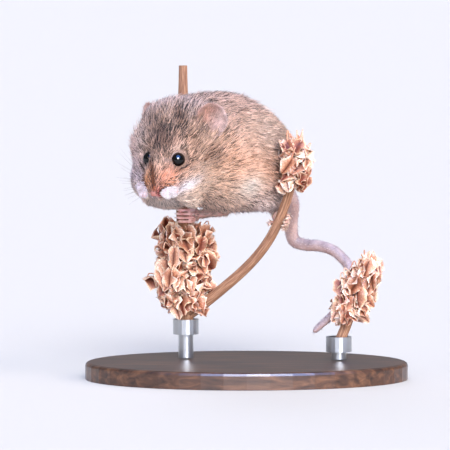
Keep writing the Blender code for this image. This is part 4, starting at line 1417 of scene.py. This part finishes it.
def ear_hair_colour(which):
    """Buff to pale lilac hairs across the bowl, darker at the rim and darkened by painted shade in the fold
    under its top, and hairs like the coat's on the back of the ear."""
    middle, _, rises, across = ear_frame(which)
    outer_way = 1 if across @ HEAD_AXES[:, 0] > 0 else -1

    def colour(points):
        share, depth = in_ear(in_head(points), which)
        outside = on_ears_back(share, depth)
        noise = waver(points, 1.2, 9)[:, None] * 0.5 + 0.5
        outward_share = (in_head(points) - middle) @ across / EAR_HALF_WIDTH * outer_way
        lilac = smoothstep(outward_share, -0.5, 0.6)[:, None]
        pale = linear("f9dcda") * lilac + linear("dcb0a2") * (1 - lilac)
        pale = pale * (0.7 + 0.5 * noise) * (1 - 0.28 * smoothstep(share, 0.78, 0.95))[:, None]
        # Painted shade in the fold under the ear's top
        fold = np.linalg.norm(in_head(points) - middle - rises * (EAR_HALF_HEIGHT * 0.62), axis=1)
        pale = pale * (1 - 0.6 * np.exp(-(fold / 0.9) ** 2))[:, None] ** np.array([0.8, 1.0, 1.0])
        furry = linear("e6c2b6") * noise + linear("a5796b") * (1 - noise)
        return np.where((outside & (share < 0.9))[:, None] | (which == "right"), furry, pale)
    return colour


for which in EARS:
    short_hairs(
        f"ear_hair_{which}", ear_meshes[which], ear_hair_density(which), ear_hair_size(which),
        ear_hair_way(which), 0.5, ear_hair_colour(which), 0.3, (0.7, 1.0, 1.2),
    )

# %% [markdown]
# The lids carry the shortest hairs of all, well under a millimetre long, that stand away from the
# eye. Without them the ring round each eye would look bald.

# %% Lid hairs
def lid_density(points):
    """Hairs only on the ring of skin just outside each eye's rim."""
    head = in_head(points)
    wanted = np.zeros(len(points))
    for side in (1, -1):
        distance, angle = from_eye(head, side)
        wanted = np.where((distance < EYE_RADIUS + 1.25) & (angle > RIM_ANGLES[side] + 0.12), 75, wanted)
    return wanted


short_hairs(
    "lid_hair", skin_mesh, lid_density, hairs_of(0.8, 0.085),
    lambda points: lie(points, np.zeros_like(points)), 0.38, markings_and_painted_light, 0.3,
    (0.45, 1.05, 1.6),
)

# %% [markdown]
# A forepaw is a small soft palm with four fingers, each with a knuckle and a claw. The shapes
# are made apart and fused into one surface, as flesh is. The claws stay separate, because horn
# has its own shine.

# %% Forepaws
PAW_PLACES = {
    "left": (1, (6.2, 3.45, -2.45), (7.3, 1.95, -1.95)),
    "right": (-1, (6.0, -2.8, -1.85), (7.2, -1.7, -2.7)),
}
# Both paws have the same white down; the right paw's is greyed with painted shade, as it lies in the muzzle's
# shadow
PAW_DOWN_AND_SHADE_COLOURS = {"left": "fdf6fc", "right": "e9deea"}
# Moist pink skin, finely creased, with light going a little way into it
paw_material, tree, shader = new_material(
    "pink paw skin", Roughness=0.5, Specular_IOR_Level=0.4, Subsurface_Weight=0.3, Subsurface_Scale=0.0005
)
shader.inputs["Subsurface Radius"].default_value = (1.0, 0.35, 0.25)
place = add(tree, "ShaderNodeTexCoord").outputs["Object"]
mottle = add(tree, "ShaderNodeTexNoise", {"Vector": place, "Scale": 1100.0, "Detail": 4.0}).outputs["Fac"]
tones = ((0.3, "dc9f99"), (0.7, "f3cfcc"))
tone = add(tree, "ShaderNodeValToRGB", {"Fac": mottle}, stops=tones).outputs["Color"]
tree.links.new(tone, shader.inputs["Base Color"])
crease = add(tree, "ShaderNodeTexVoronoi", {"Vector": place, "Scale": 4200.0}).outputs["Distance"]
bump = add(tree, "ShaderNodeBump", {"Height": crease, "Strength": 0.35, "Distance": 0.00004})
tree.links.new(bump.outputs["Normal"], shader.inputs["Normal"])
# Thin translucent horn: smooth, with a brighter shine than the skin round it
claw_material = new_material("claw horn", Base_Color=rgba("d8c6b8"), Roughness=0.3, IOR=1.55)[0]

claw_shapes = []

# %% [markdown]
# Each finger is a round tube through root, knuckle, joint and tip, thicker at the knuckle and
# at the pad. The frame of a paw says which way it reaches and where its back is, so the same
# lines serve left and right.

# %% Claw and paw shapes
def claw(root, way, down, length, radius):
    """A small curved horn: a path that starts along way and bends towards down, narrowing to a point."""
    t = np.linspace(0, 1, 7)[:, None]
    path = root + way * (t * length) + down * (0.45 * length * t * t)
    return closed_grid(tube(path, radius * (1 - t[:, 0]) ** 0.7 + 0.008, 8))


def paw_frame(side, centre, tip):
    """Middle, reach, across and back of a forepaw, in row places, and the length of its reach."""
    reach = head_way(np.array(tip, float) - np.array(centre, float))
    size = np.linalg.norm(reach)
    reach = reach / size
    back = head_way((0.75, 0.1 * side, 0.35))
    back = unit(back - reach * (back @ reach))
    return on_head(centre), reach, np.cross(back, reach), back, size


def forepaw_shapes(side, centre, tip):
    """Palm, fingers and wrist in row places, and the claws."""
    middle, reach, across, back, size = paw_frame(side, centre, tip)
    shapes = [egg(middle, (1.05, 0.82, 0.62), (reach, across, back))]
    for i in range(4):
        spread = (i - 1.5) * 0.4
        share = 0.85 if i in (0, 3) else 1.0
        root = middle + reach * 0.5 + across * spread * 0.95 + back * 0.1
        knuckle = middle + reach * (0.45 * size * share + 0.55) + across * spread + back * 0.3
        joint = middle + reach * (0.8 * size * share + 0.25) + across * spread * 0.95 + back * 0.16
        end = middle + reach * size * share + across * spread * 0.6 - back * 0.12
        path = smooth_path([root, knuckle, joint, end], 4)
        swell = np.interp(
            np.linspace(0, 1, len(path)), [0, 0.33, 0.5, 0.72, 1], [0.3, 0.3, 0.235, 0.26, 0.21]
        )
        shapes.append(round_tube(path, swell, 14))
        claw_shapes.append(claw(end + reach * 0.08, reach, -back, 0.5, 0.11))
    return shapes

# %% [markdown]
# White down covers the back of each forepaw and thins out on the fingers. Where down grows and how
# long it is are functions of the place on the paw.

# %% Down on the paws
def paw_down_size(frame):
    """Hairs are longest at the back of the palm and short on the fingers."""
    middle, reach, _, _, _ = frame

    def sizes(points):
        along = (points - middle) @ reach
        return np.where(along > 0.9, 0.45, 0.85), 0.085 + 0 * along
    return sizes


def paw_down_density(frame):
    """Thick on the back of the paw, thinner on the fingers, none on the palm."""
    middle, reach, _, back, _ = frame

    def density(points):
        along, out = (points - middle) @ reach, (points - middle) @ back
        return 150 * smoothstep(out, -0.4, 0.0) * (1 - 0.6 * smoothstep(along, 1.1, 1.8))
    return density


for name, paw in PAW_PLACES.items():
    mesh = fused(f"paw_{name}", forepaw_shapes(*paw), 0.085, 3)
    piece(f"paw_{name}", mesh, paw_material, [f"forepaw_{name}"])
    paw_axes = paw_frame(*paw)
    short_hairs(
        f"paw_down_{name}", mesh, paw_down_density(paw_axes), paw_down_size(paw_axes),
        all_like(paw_axes[1]), 0.3, all_like(linear(PAW_DOWN_AND_SHADE_COLOURS[name])), 0.18,
        (0.85, 1.0, 1.1),
    )

# %% [markdown]
# The hind feet hold the perch as a climber's do: a long sole, four toes round one side of the
# stem and the outer toe free to swing round the other. Each toe is a path wound round the perch.

# %% Hind feet
# Places and radii along each stem
STEM_PATH = (
    (-11.3, 5.2, 9.3, 1.45), (-11.5, 5.3, 22.0, 1.38), (-11.8, 5.6, 36.0, 1.3), (-11.8, 6.1, 58.0, 0.78),
)
BRANCH_PATH = (
    (-11.5, 5.2, 11.0, 1.05), (-6.0, 4.0, 15.2, 1.0), (0.0, 2.2, 20.6, 0.95), (4.0, 0.7, 25.6, 0.92),
    (6.6, -0.6, 31.0, 0.88), (8.3, -1.7, 36.5, 0.82), (9.2, -2.3, 42.0, 0.75),
)
TWIG_PATH = ((17.2, 2.0, 6.3, 1.0), (19.0, 2.0, 11.0, 0.95), (20.9, 2.0, 16.0, 0.88), (22.4, 2.0, 20.0, 0.8))
GAP = 0.3
SOLE_RADIUS = 0.8
TOE_RADIUS = 0.34
TOE_SPACING = 0.72
# Each foot: its heel, the stem it holds and where, the side its sole is on, and the stem's radius there
FOOT_PLACES = {
    "left": ((6.9, 4.6, 28.6), BRANCH_PATH, 0.62, (0.2, 0.5, 1.0), 0.92),
    "right": ((-4.0, 7.8, 30.7), STEM_PATH, 0.56, (0.93, 0.36, 0.0), 1.32),
}


def point_on(path, share):
    """The place at a share of the way along a path."""
    points = smooth_path(path, 8)
    return points[round(share * (len(points) - 1))][:3]

# %% [markdown]
# The sole is a tube from heel to ball, with three pads under it. A toe leaves the ball and turns
# about the stem's axis at the stem's radius plus its own, with a small wave for its joints.

# %% Hind foot shapes
def hindfoot_shapes(heel, perch, share, sole_side, perch_radius):
    """Sole, pads and toes. A toe runs at the perch's radius and its own, turning about the perch's axis."""
    grip = point_on(perch, share)
    axis = np.array([0.0, 0, 1]) if perch is STEM_PATH else unit(point_on(perch, 0.72) - point_on(perch, 0.6))
    away = np.array(sole_side, float)
    away = unit(away - axis * (away @ axis))
    front = np.cross(away, axis)
    heel = np.array(heel, float)
    ball = grip + away * (perch_radius + GAP + SOLE_RADIUS)
    back = heel + unit(heel - ball) * 0.5
    middle = (heel + ball) / 2 + away * 0.1
    sole = smooth_path([(*back, 0.62), (*heel, 0.86), (*middle, 0.72), (*ball, 0.78)], 5)
    shapes = [round_tube(sole[:, :3], sole[:, 3], 16)]
    shapes.append(egg(ball, (0.8, 1.2, 0.78), (away, axis, front)))
    for k in (-0.75, 0.0, 0.75):
        pad = ball + axis * k - away * 0.42 + front * 0.2
        shapes.append(egg(pad, (0.36, 0.34, 0.4), (away, axis, front), 14, 9))
    around = perch_radius + GAP + TOE_RADIUS - 0.12
    for i in range(5):
        outer = i == 4
        spread = -1.3 if outer else (i - 1.5) * TOE_SPACING
        way = -1 if outer else 1
        reach = math.radians(95 if outer else 150 - 8 * abs(i - 1.5))
        angle = np.linspace(0.12, 1, 12)[:, None] * reach
        run = (away * np.cos(angle) + front * way * np.sin(angle)) * (around + 0.14 * np.cos(angle * 5) ** 2)
        path = np.concatenate([[ball + axis * spread * 0.5], grip + axis * spread + run])
        radii = TOE_RADIUS - np.linspace(0.0, 0.1, len(path)) + 0.03 * np.cos(np.linspace(0, 14, len(path)))
        shapes.append(round_tube(path, radii, 12))
        end = path[-1]
        ahead = unit(path[-1] - path[-2])
        claw_shapes.append(claw(end + ahead * 0.15, ahead, unit(grip + axis * spread - end), 0.75, 0.14))
    return shapes

# %% [markdown]
# Palms and soles are bare, but the tops of the hind feet carry short buff hair near the heel.
# All the claws are one piece, because they share one finish.

# %% Make the feet
for name, place_of_foot in FOOT_PLACES.items():
    mesh = fused(f"foot_{name}", hindfoot_shapes(*place_of_foot), 0.1, 3)
    piece(f"foot_{name}", mesh, paw_material, [f"hindfoot_{name}"])
    heel = np.array(place_of_foot[0])
    grip = point_on(place_of_foot[1], place_of_foot[2])
    short_hairs(
        f"foot_down_{name}", mesh,
        lambda points: 34 * smoothstep(-np.linalg.norm(points - heel, axis=1), -8.5, -3.5),
        hairs_of(0.8, 0.09), all_like(unit(grip - heel)), 0.3, all_like(linear("e4c9ba")),
        0.25, (0.7, 1.0, 1.2),
    )
mesh = mesh_from("claws", *joined(claw_shapes))
outward(mesh)
piece("claws", mesh, claw_material)

# %% [markdown]
# The tail is nearly bare: rings of small scales with a few short hairs between them, lilac grey
# above and pinker below. The rings are real steps in the surface. Each hair is a tiny spike that
# lies back towards the tip.

# %% Tail
TAIL_PATH = (
    (6.9, 11.6, 34.6, 1.7), (8.5, 15.5, 31.6, 1.45), (8.4, 18.8, 27.6, 1.3), (8.9, 19.9, 24.4, 1.2),
    (10.8, 19.0, 23.5, 1.12), (13.7, 17.0, 23.4, 1.08), (15.9, 15.0, 22.9, 1.03), (17.4, 13.5, 22.0, 1.0),
    (18.9, 11.5, 20.5, 0.97), (19.5, 10.0, 19.2, 0.94), (19.4, 8.0, 16.8, 0.88), (18.2, 6.6, 14.1, 0.81),
    (16.2, 6.0, 11.6, 0.74), (13.7, 6.0, 9.3, 0.66), (12.9, 6.0, 8.5, 0.5),
)
SCALE_RING = 0.42
tail_line = smooth_path(TAIL_PATH, 40)
tail_length = np.linalg.norm(np.diff(tail_line[:, :3], axis=0), axis=1).sum()
tail_rings = tail_length / SCALE_RING
print("tail:", round(tail_length, 1), "mm with", round(tail_rings), "rings of scales")


def scale_rings(share, angle):
    """Radius factor of the rings of scales: a saw tooth along the tail, broken up round it."""
    phase = share * tail_rings + 0.08 * np.sin(angle * 3 + share * 90)
    tooth = phase - np.floor(phase)
    cells = 0.5 + 0.5 * np.cos(angle * 14 + np.floor(phase) * np.pi)
    return 1 - 0.05 * tooth ** 1.5 - 0.02 * cells


TAIL_SECTIONS = 1050
steps = np.linspace(0, len(tail_line) - 1, TAIL_SECTIONS)
dense = np.stack([np.interp(steps, np.arange(len(tail_line)), tail_line[:, k]) for k in range(4)], 1)
tail_tube = tube(dense[:, :3], dense[:, 3], 40, scale_rings)
end_way = unit(dense[-1, :3] - dense[-4, :3])
cap = [dense[-1, :3] + end_way * dense[-1, 3] * k for k in (0.45, 0.8, 0.97)]
cap_rings = np.stack([c + (tail_tube[-1] - dense[-1, :3]) * r for c, r in zip(cap, (0.87, 0.58, 0.25))])
tail_tube = np.concatenate([tail_tube, cap_rings])
tail_points, tail_faces = closed_grid(tail_tube)
tail_mesh = mesh_from("tail", tail_points, tail_faces)
outward(tail_mesh)

# Scaly bare skin: dull, lilac grey where it faces up and pinker below
tail_material, tree, shader = new_material("ringed tail skin", Roughness=0.55, Specular_IOR_Level=0.4)
place = add(tree, "ShaderNodeTexCoord").outputs["Object"]
mottle = add(tree, "ShaderNodeTexNoise", {"Vector": place, "Scale": 500.0, "Detail": 6.0}).outputs["Fac"]
surface_normal = add(tree, "ShaderNodeNewGeometry").outputs["Normal"]
facing_up = add(tree, "ShaderNodeSeparateXYZ", {"Vector": surface_normal})
underside = add(
    tree, "ShaderNodeMapRange", {"Value": facing_up.outputs["Z"], "From Min": -0.6, "From Max": 0.5}
).outputs["Result"]
upper_tone, lower_tone = (
    add(tree, "ShaderNodeValToRGB", {"Fac": mottle}, stops=stops).outputs["Color"]
    for stops in (((0.3, "8f8088"), (0.7, "b9a8ad")), ((0.3, "b3908c"), (0.7, "d3b4ae")))
)
mixed = add(tree, "ShaderNodeMix", {"Factor": underside, 6: lower_tone, 7: upper_tone}, data_type="RGBA")
tree.links.new(mixed.outputs[2], shader.inputs["Base Color"])
piece("ringed_tail", tail_mesh, tail_material, [f"tail_{k}" for k in (1, 2, 3, 4)])

# %% [markdown]
# Between the rings grow short stiff hairs that lie back towards the tip. They are few and thin, so
# they show mostly as a soft edge against the light.

# %% Tail hairs
def towards_tip(points):
    """The way along the tail at the nearest of its sections."""
    along = unit(np.gradient(dense[::6, :3], axis=0))
    gaps = np.linalg.norm(points[:, None] - dense[None, ::6, :3], axis=2)
    return along[gaps.argmin(1)]


short_hairs(
    "tail_hair", tail_mesh, lambda points: np.full(len(points), 10.0),
    hairs_of(0.65, 0.05), towards_tip, 0.3, all_like(linear("cdbfc6")), 0.15,
    (0.5, 1.0, 1.3),
)

# %% [markdown]
# Whiskers are a mouse's feelers: four rows of five on each side, short near the nose and long
# further back. A curve object with a thickness would do, but a mesh tube exports as it is. Each
# one tapers to nothing and droops a little, as the square of the way along.

# %% Whiskers
# Stiff translucent hair: smooth enough to catch a thin line of light
whisker_material = new_material("whisker keratin", Base_Color=rgba("a3948a"), Roughness=0.35)[0]
# The swollen root of a whisker shows dark through the short orange coat
root_material = new_material("whisker root", Base_Color=rgba("5a3022"), Roughness=0.6)[0]
whisker_shapes, root_shapes = [], []
for side in (1, -1):
    for row in range(4):
        for column in range(5):
            root = np.array([6.3 - 0.7 * column, 1.3 + 0.42 * column, -1.1 - 0.5 * row])
            root += RANDOM.normal(0, 0.08, 3)
            hit, normal, _, _ = skin_tree.find_nearest(Vector(on_head(mirrored(root, side))))
            reach = 4.2 + 1.3 * column + RANDOM.uniform(-0.5, 0.8)
            way = unit(np.array([0.55 - 0.3 * column, 1.0, 0.28 - 0.26 * row]) + RANDOM.normal(0, 0.07, 3))
            droop = np.array([-0.35, 0, -0.25])
            t = np.linspace(0, 1, 14)[:, None]
            path = np.array(hit) - np.array(normal) * 0.1
            path = path + head_way(mirrored(way, side)) * (reach * t)
            path = path + head_way(mirrored(droop, side)) * (reach * t * t * 0.5)
            whisker_shapes.append(closed_grid(tube(path, 0.028 * (1 - t[:, 0]) ** 0.8 + 0.006, 5)))
            out = unit(unit(path[3] - path[0]) + np.array(normal) * 0.5)
            short = np.array(hit) + out * np.linspace(0.1, 0.95, 5)[:, None]
            root_shapes.append(closed_grid(tube(short, [0.1, 0.11, 0.1, 0.07, 0.02], 7)))
for name, shapes, material in (
    ("whiskers", whisker_shapes, whisker_material), ("whisker_roots", root_shapes, root_material)
):
    mesh = mesh_from(name, *joined(shapes))
    outward(mesh)
    piece(name, mesh, material)

# %% [markdown]
# Dried dock stems are ribbed, with a papery collar where each whorl of fruit stands. The ribs are
# a wave round the section, and a slight swelling marks each whorl.

# %% Dock stems
STEM_WHORLS = ((0.15, 4.2), (0.23, 4.8), (0.31, 5.0), (0.39, 4.6))
BRANCH_WHORLS = ((0.84, 2.6), (0.93, 2.8), (1.0, 2.2))
TWIG_WHORLS = ((0.38, 3.2), (0.6, 3.2), (0.8, 2.9), (1.0, 2.3))
# Dead stem: bleached ridges and brown furrows that run along it, dull as cork
stem_material, tree, shader = new_material("dried dock stem", Roughness=0.75, Specular_IOR_Level=0.25)
strand = add(tree, "ShaderNodeAttribute", attribute_name="strand").outputs["Vector"]
fibre = add(tree, "ShaderNodeTexNoise", {"Vector": strand, "Scale": 5.0, "Detail": 6.0, "Roughness": 0.65})
furrow_to_ridge = ((0.25, "523426"), (0.45, "835d48"), (0.6, "aa8267"), (0.8, "d3b69f"))
tone = add(tree, "ShaderNodeValToRGB", {"Fac": fibre.outputs["Fac"]}, stops=furrow_to_ridge).outputs["Color"]
tree.links.new(tone, shader.inputs["Base Color"])
bump = add(tree, "ShaderNodeBump", {"Height": fibre.outputs["Fac"], "Strength": 0.6, "Distance": 0.00009})
tree.links.new(bump.outputs["Normal"], shader.inputs["Normal"])

# %% [markdown]
# The stem's section is a circle with ribs: a wave of nine round it, and a finer one of 23. At each
# whorl the radius swells over a short length.

# %% Stem shape
def ribbed(whorls):
    """Radius factor of a ribbed stem that swells a little at each whorl."""
    def shape(share, angle):
        ribs = 1 - 0.035 + 0.045 * np.cos(angle * 9 + 0.6 * np.sin(share * 20)) + 0.012 * np.cos(angle * 23)
        for place_of_whorl, _ in whorls:
            ribs = ribs + 0.16 * np.exp(-((share - place_of_whorl) / 0.012) ** 2)
        return ribs
    return shape


def dock_stem(name, path, whorls, replaces, steps=40):
    """A ribbed tube with a cut end. Its strand attribute goes round it in mm, and along it in shares of
    16 mm, so the fibres in the material come out long and thin."""
    line = smooth_path(path, steps)
    rings = tube(line[:, :3], line[:, 3], 54, ribbed(whorls))
    inset = rings[-1].mean(0) + (rings[-1] - rings[-1].mean(0)) * 0.6
    rings = np.concatenate([rings, [inset]])
    mesh = mesh_from(name, *closed_grid(rings))
    angle = np.linspace(0, 2 * np.pi, 54, endpoint=False)
    along = np.concatenate([[0], np.cumsum(np.linalg.norm(np.diff(rings.mean(1), axis=0), axis=1))])
    turn = np.stack([np.cos(angle), np.sin(angle)], 1) * 1.3
    strands = np.concatenate([np.tile(turn, (len(rings), 1)), np.repeat(along / 16, 54)[:, None]], 1)
    strands = np.concatenate([strands, [[0, 0, 0], [0, 0, along[-1] / 16]]]).astype(np.float32)
    mesh.attributes.new("strand", "FLOAT_VECTOR", "POINT").data.foreach_set("vector", strands.ravel())
    outward(mesh)
    return piece(name, mesh, stem_material, [replaces], sharp=50)


dock_stem("dock_stem", STEM_PATH, STEM_WHORLS, "perch_stem")
dock_stem("dock_branch", BRANCH_PATH, BRANCH_WHORLS, "perch_branch", 24)
dock_stem("dock_twig", TWIG_PATH, TWIG_WHORLS, "perch_twig", 40)

# %% [markdown]
# A dock fruit is a small nut in three papery wings. Each wing is half a heart that stands out from
# the nut, with a pale, frilled, often curled edge. A wing could be a sheet given a thickness, but
# there are hundreds, so one closed grid gives a whole fruit: its rows run from stalk to tip, and
# six columns go round each wing, close together across the thin blade. The fruits of a whorl
# are worked out in one array, and each hangs on a thread-like stalk.

# %% Dock fruits
BLADE_TURN = np.radians([-60.0, -7.0, -2.6, 0.0, 2.6, 7.0])
BLADE_REACH = np.array([0.17, 0.42, 0.8, 1.0, 0.8, 0.42])
FRUIT_ROWS = 8
FRUIT_SIZE = 3.9
GOLDEN_ANGLE = 2.399963


def fruits(size, spin, bend, frill):
    """Fruits whose stalk end is at the origin and which hang along -z. At a share v of the way down, the
    radius is half the size * reach * w, where w = sin(pi * v^0.7)^0.6 narrows towards the tip. A blade's
    angle shifts by bend * reach^2 and by frill * reach^3 * a sine of v. Gives (fruit, row, column, 3)."""
    v = np.linspace(0.02, 0.98, FRUIT_ROWS)[None, :, None]
    reach = np.tile(BLADE_REACH, 3)[None, None, :]
    turn = (np.tile(BLADE_TURN, 3) + np.repeat(np.arange(3), 6) * 2 * np.pi / 3)[None, None, :]
    heart = np.sin(np.pi * v ** 0.7) ** 0.6 * (1.08 - 0.3 * v)
    size, spin, frill = (a[:, None, None] for a in (size, spin, frill))
    bend = np.repeat(bend, 6, axis=1)[:, None, :]
    angle = turn + spin + bend * reach ** 2 + frill * reach ** 3 * np.sin(11 * v + 5 * spin + 2 * turn)
    ragged = 1 + 0.09 * reach ** 3 * np.sin(23 * v + 9 * spin + turn * 3)
    radius = size * 0.5 * reach * heart * ragged
    drop = -v + 0.3 * reach ** 2 * (1 - v) ** 2 - 0.06 * reach
    return np.stack([radius * np.cos(angle), radius * np.sin(angle), size * drop + 0 * radius], -1)


def turned(axis, spin):
    """Rows of a frame whose z points along axis."""
    side = unit(np.cross(axis, [0.3, 0.7, 0.2]))
    other = np.cross(axis, side)
    first = side * math.cos(spin) + other * math.sin(spin)
    return np.array([first, np.cross(axis, first), axis])

# %% [markdown]
# Fruits crowd round each whorl with no two on the same spot, so each one is turned on from the
# last by the golden angle, as seeds in a flower head are. Each hangs outwards and down.

# %% A whorl of fruits
def fruiting(path, whorls, count, full_size):
    """Fruits round each whorl, hanging outwards and down on thin arched stalks. Gives points, triangles,
    and for each point the share of the way from nut to edge and the fruit's own tone."""
    line = smooth_path(path, 8)
    grids, stalks = [], []
    for place_of_whorl, radius in whorls:
        at = place_of_whorl * (len(line) - 1)
        low = int(min(at, len(line) - 2))
        centre = line[low] + (line[low + 1] - line[low]) * (at - low)
        number = round(count * (radius / 5) ** 1.5)
        turn = np.arange(number) * GOLDEN_ANGLE + RANDOM.uniform(-0.3, 0.3, number)
        height = RANDOM.uniform(-0.75, 0.8, number)
        level = np.sqrt(1 - height ** 2)
        out = np.stack([np.cos(turn) * level, np.sin(turn) * level, height], 1)
        size = full_size * RANDOM.uniform(0.78, 1.1, number) * (0.62 + 0.38 * radius / 5)
        hang = out * RANDOM.uniform(0.2, 1.0, (number, 1)) + [0, 0, -0.6]
        hang = unit(hang + RANDOM.normal(0, 0.4, (number, 3)))
        outer = centre[:3] + out * (radius * RANDOM.uniform(0.82, 1.04, number))[:, None] * [1, 1, 0.8]
        root = outer - hang * size[:, None] * 0.75
        local = fruits(size, RANDOM.uniform(0, 6.28, number), RANDOM.normal(0, 0.6, (number, 3)),
                       RANDOM.uniform(0.15, 0.7, number))
        for k in range(number):
            grids.append(root[k] + local[k] @ turned(-hang[k], 0.0))
            foot = centre[:3] + np.array([math.cos(turn[k]), math.sin(turn[k]), 0]) * centre[3] * 0.9
            foot[2] += RANDOM.uniform(-0.5, 0.8)
            top = foot * 0.3 + root[k] * 0.7 - hang[k] * 1.3 + [0, 0, RANDOM.uniform(0.6, 2.0)]
            line_of_stalk = smooth_path([foot, top, root[k]], 4)
            stalks.append(closed_grid(tube(line_of_stalk, np.linspace(0.1, 0.13, len(line_of_stalk)), 5)))
    parts = [closed_grid(grid) for grid in grids]
    edge = [np.concatenate([np.tile(np.tile(BLADE_REACH, 3), FRUIT_ROWS), [0.2, 0.2]])] * len(parts)
    edge += [np.full(len(points), 0.75) for points, _ in stalks]
    tone = [np.full(len(points), RANDOM.random()) for points, _ in parts]
    tone += [np.full(len(points), RANDOM.uniform(0.5, 1)) for points, _ in stalks]
    points, faces = joined(parts + stalks)
    print(len(parts), "fruits")
    return points, faces, np.concatenate(edge), np.concatenate(tone)

# %% [markdown]
# A dead wing is papery: reddish brown by the nut, pinkish buff further out, and pale at its edge,
# with a net of fine veins. The pale edge is partly bleached paper and partly a painted highlight where
# the crests catch the light. The colours go on the points, by the share of the way to the edge.

# %% Fruit material and pieces
# Papery wing: matt, veined, and light shines through its thin edge
fruit_material, tree, shader = new_material(
    "papery dock wing", Roughness=0.65, Specular_IOR_Level=0.3, Subsurface_Weight=0.15,
    Subsurface_Scale=0.0006,
)
painted = add(tree, "ShaderNodeVertexColor", layer_name="wing").outputs["Color"]
place = add(tree, "ShaderNodeTexCoord").outputs["Object"]
veins = add(tree, "ShaderNodeTexVoronoi", {"Vector": place, "Scale": 2100.0}, feature="DISTANCE_TO_EDGE")
vein_tone = add(
    tree, "ShaderNodeValToRGB", {"Fac": veins.outputs["Distance"]}, stops=((0.02, "c79a80"), (0.14, "ffffff"))
).outputs["Color"]
mixed = add(
    tree, "ShaderNodeMix", {"Factor": 0.6, 6: painted, 7: vein_tone}, data_type="RGBA", blend_type="MULTIPLY"
)
tree.links.new(mixed.outputs[2], shader.inputs["Base Color"])
vein_height = veins.outputs["Distance"]
bump = add(tree, "ShaderNodeBump", {"Height": vein_height, "Strength": 0.5, "Distance": 0.00006})
tree.links.new(bump.outputs["Normal"], shader.inputs["Normal"])
NUT_COLOUR = linear("5e2819")
WING_COLOURS = np.array([linear(c) for c in ("965640", "dca284", "c6896a", "ecc1a8")])
# Pale edges: bleached paper with a painted highlight on the crests
PALE_EDGE_AND_HIGHLIGHT_COLOURS = np.array([linear(c) for c in ("fbdcc0", "fff2e6", "ffe4d6", "fff8f0")])

# Each set: its stem, its whorls, and how many fruits a whorl of 5 mm radius would have
for name, path, whorls, count in (
    ("dock_fruits_stem", STEM_PATH, STEM_WHORLS, 44),
    ("dock_fruits_branch", BRANCH_PATH, BRANCH_WHORLS, 56),
    ("dock_fruits_twig", TWIG_PATH, TWIG_WHORLS, 56),
):
    points, faces, edge, tone = fruiting(path, whorls, count, FRUIT_SIZE)
    mesh = mesh_from(name, points, faces)
    outward(mesh)
    kind = np.clip((tone * 4).astype(int), 0, 3)
    out_to_wing = np.clip((edge - 0.2) / 0.3, 0, 1)[:, None]
    out_to_edge = (np.clip((edge - 0.6) / 0.4, 0, 1) ** 2.2)[:, None]
    colour = NUT_COLOUR + (WING_COLOURS[kind] - NUT_COLOUR) * out_to_wing
    colour = colour + (PALE_EDGE_AND_HIGHLIGHT_COLOURS[kind] - colour) * out_to_edge
    paint(mesh, "wing", colour)
    piece(name, mesh, fruit_material, sharp=60)

# %% [markdown]
# The stand stays as the solids give it: an oval of dark oiled walnut and two short rods of
# brushed steel with a collar on each. They only need their finish.

# %% Stand
# Oiled dark hardwood: fine grain along the oval, open pores, a soft satin shine
walnut, tree, shader = new_material("oiled walnut", Roughness=0.38, Coat_Weight=0.25, Coat_Roughness=0.2)
place = add(tree, "ShaderNodeTexCoord").outputs["Object"]
along_grain = add(tree, "ShaderNodeMapping", {"Vector": place, "Scale": (0.09, 1.0, 1.0)}).outputs["Vector"]
grain = add(
    tree, "ShaderNodeTexNoise", {"Vector": along_grain, "Scale": 900.0, "Detail": 8.0, "Distortion": 0.6}
)
pore_to_ring = ((0.3, "2a1a12"), (0.5, "4a2f20"), (0.72, "6d4a33"))
tone = add(tree, "ShaderNodeValToRGB", {"Fac": grain.outputs["Fac"]}, stops=pore_to_ring).outputs["Color"]
tree.links.new(tone, shader.inputs["Base Color"])
pores = add(tree, "ShaderNodeTexNoise", {"Vector": along_grain, "Scale": 5200.0, "Detail": 3.0})
bump = add(tree, "ShaderNodeBump", {"Height": pores.outputs["Fac"], "Strength": 0.25, "Distance": 0.00005})
tree.links.new(bump.outputs["Normal"], shader.inputs["Normal"])

# Brushed along the rod: fine lines that stretch each highlight
steel, tree, shader = new_material("brushed steel", Base_Color=rgba("b9babb"), Metallic=1.0, Roughness=0.32)
place = add(tree, "ShaderNodeTexCoord").outputs["Object"]
brushed = add(tree, "ShaderNodeMapping", {"Vector": place, "Scale": (1.0, 1.0, 22.0)}).outputs["Vector"]
lines = add(tree, "ShaderNodeTexNoise", {"Vector": brushed, "Scale": 700.0, "Detail": 3.0}).outputs["Fac"]
bump = add(tree, "ShaderNodeBump", {"Height": lines, "Strength": 0.15, "Distance": 0.00003})
tree.links.new(bump.outputs["Normal"], shader.inputs["Normal"])

for name, node in frame["nodes"].items():
    if name.startswith("stand_"):
        node.data.materials.clear()
        node.data.materials.append(walnut if name == "stand_base" else steel)
print("stand finished")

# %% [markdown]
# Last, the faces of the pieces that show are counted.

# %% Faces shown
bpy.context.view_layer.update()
triangles_shown = sum(len(o.data.polygons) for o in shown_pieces() if o.type == "MESH")
print("faces shown:", triangles_shown)
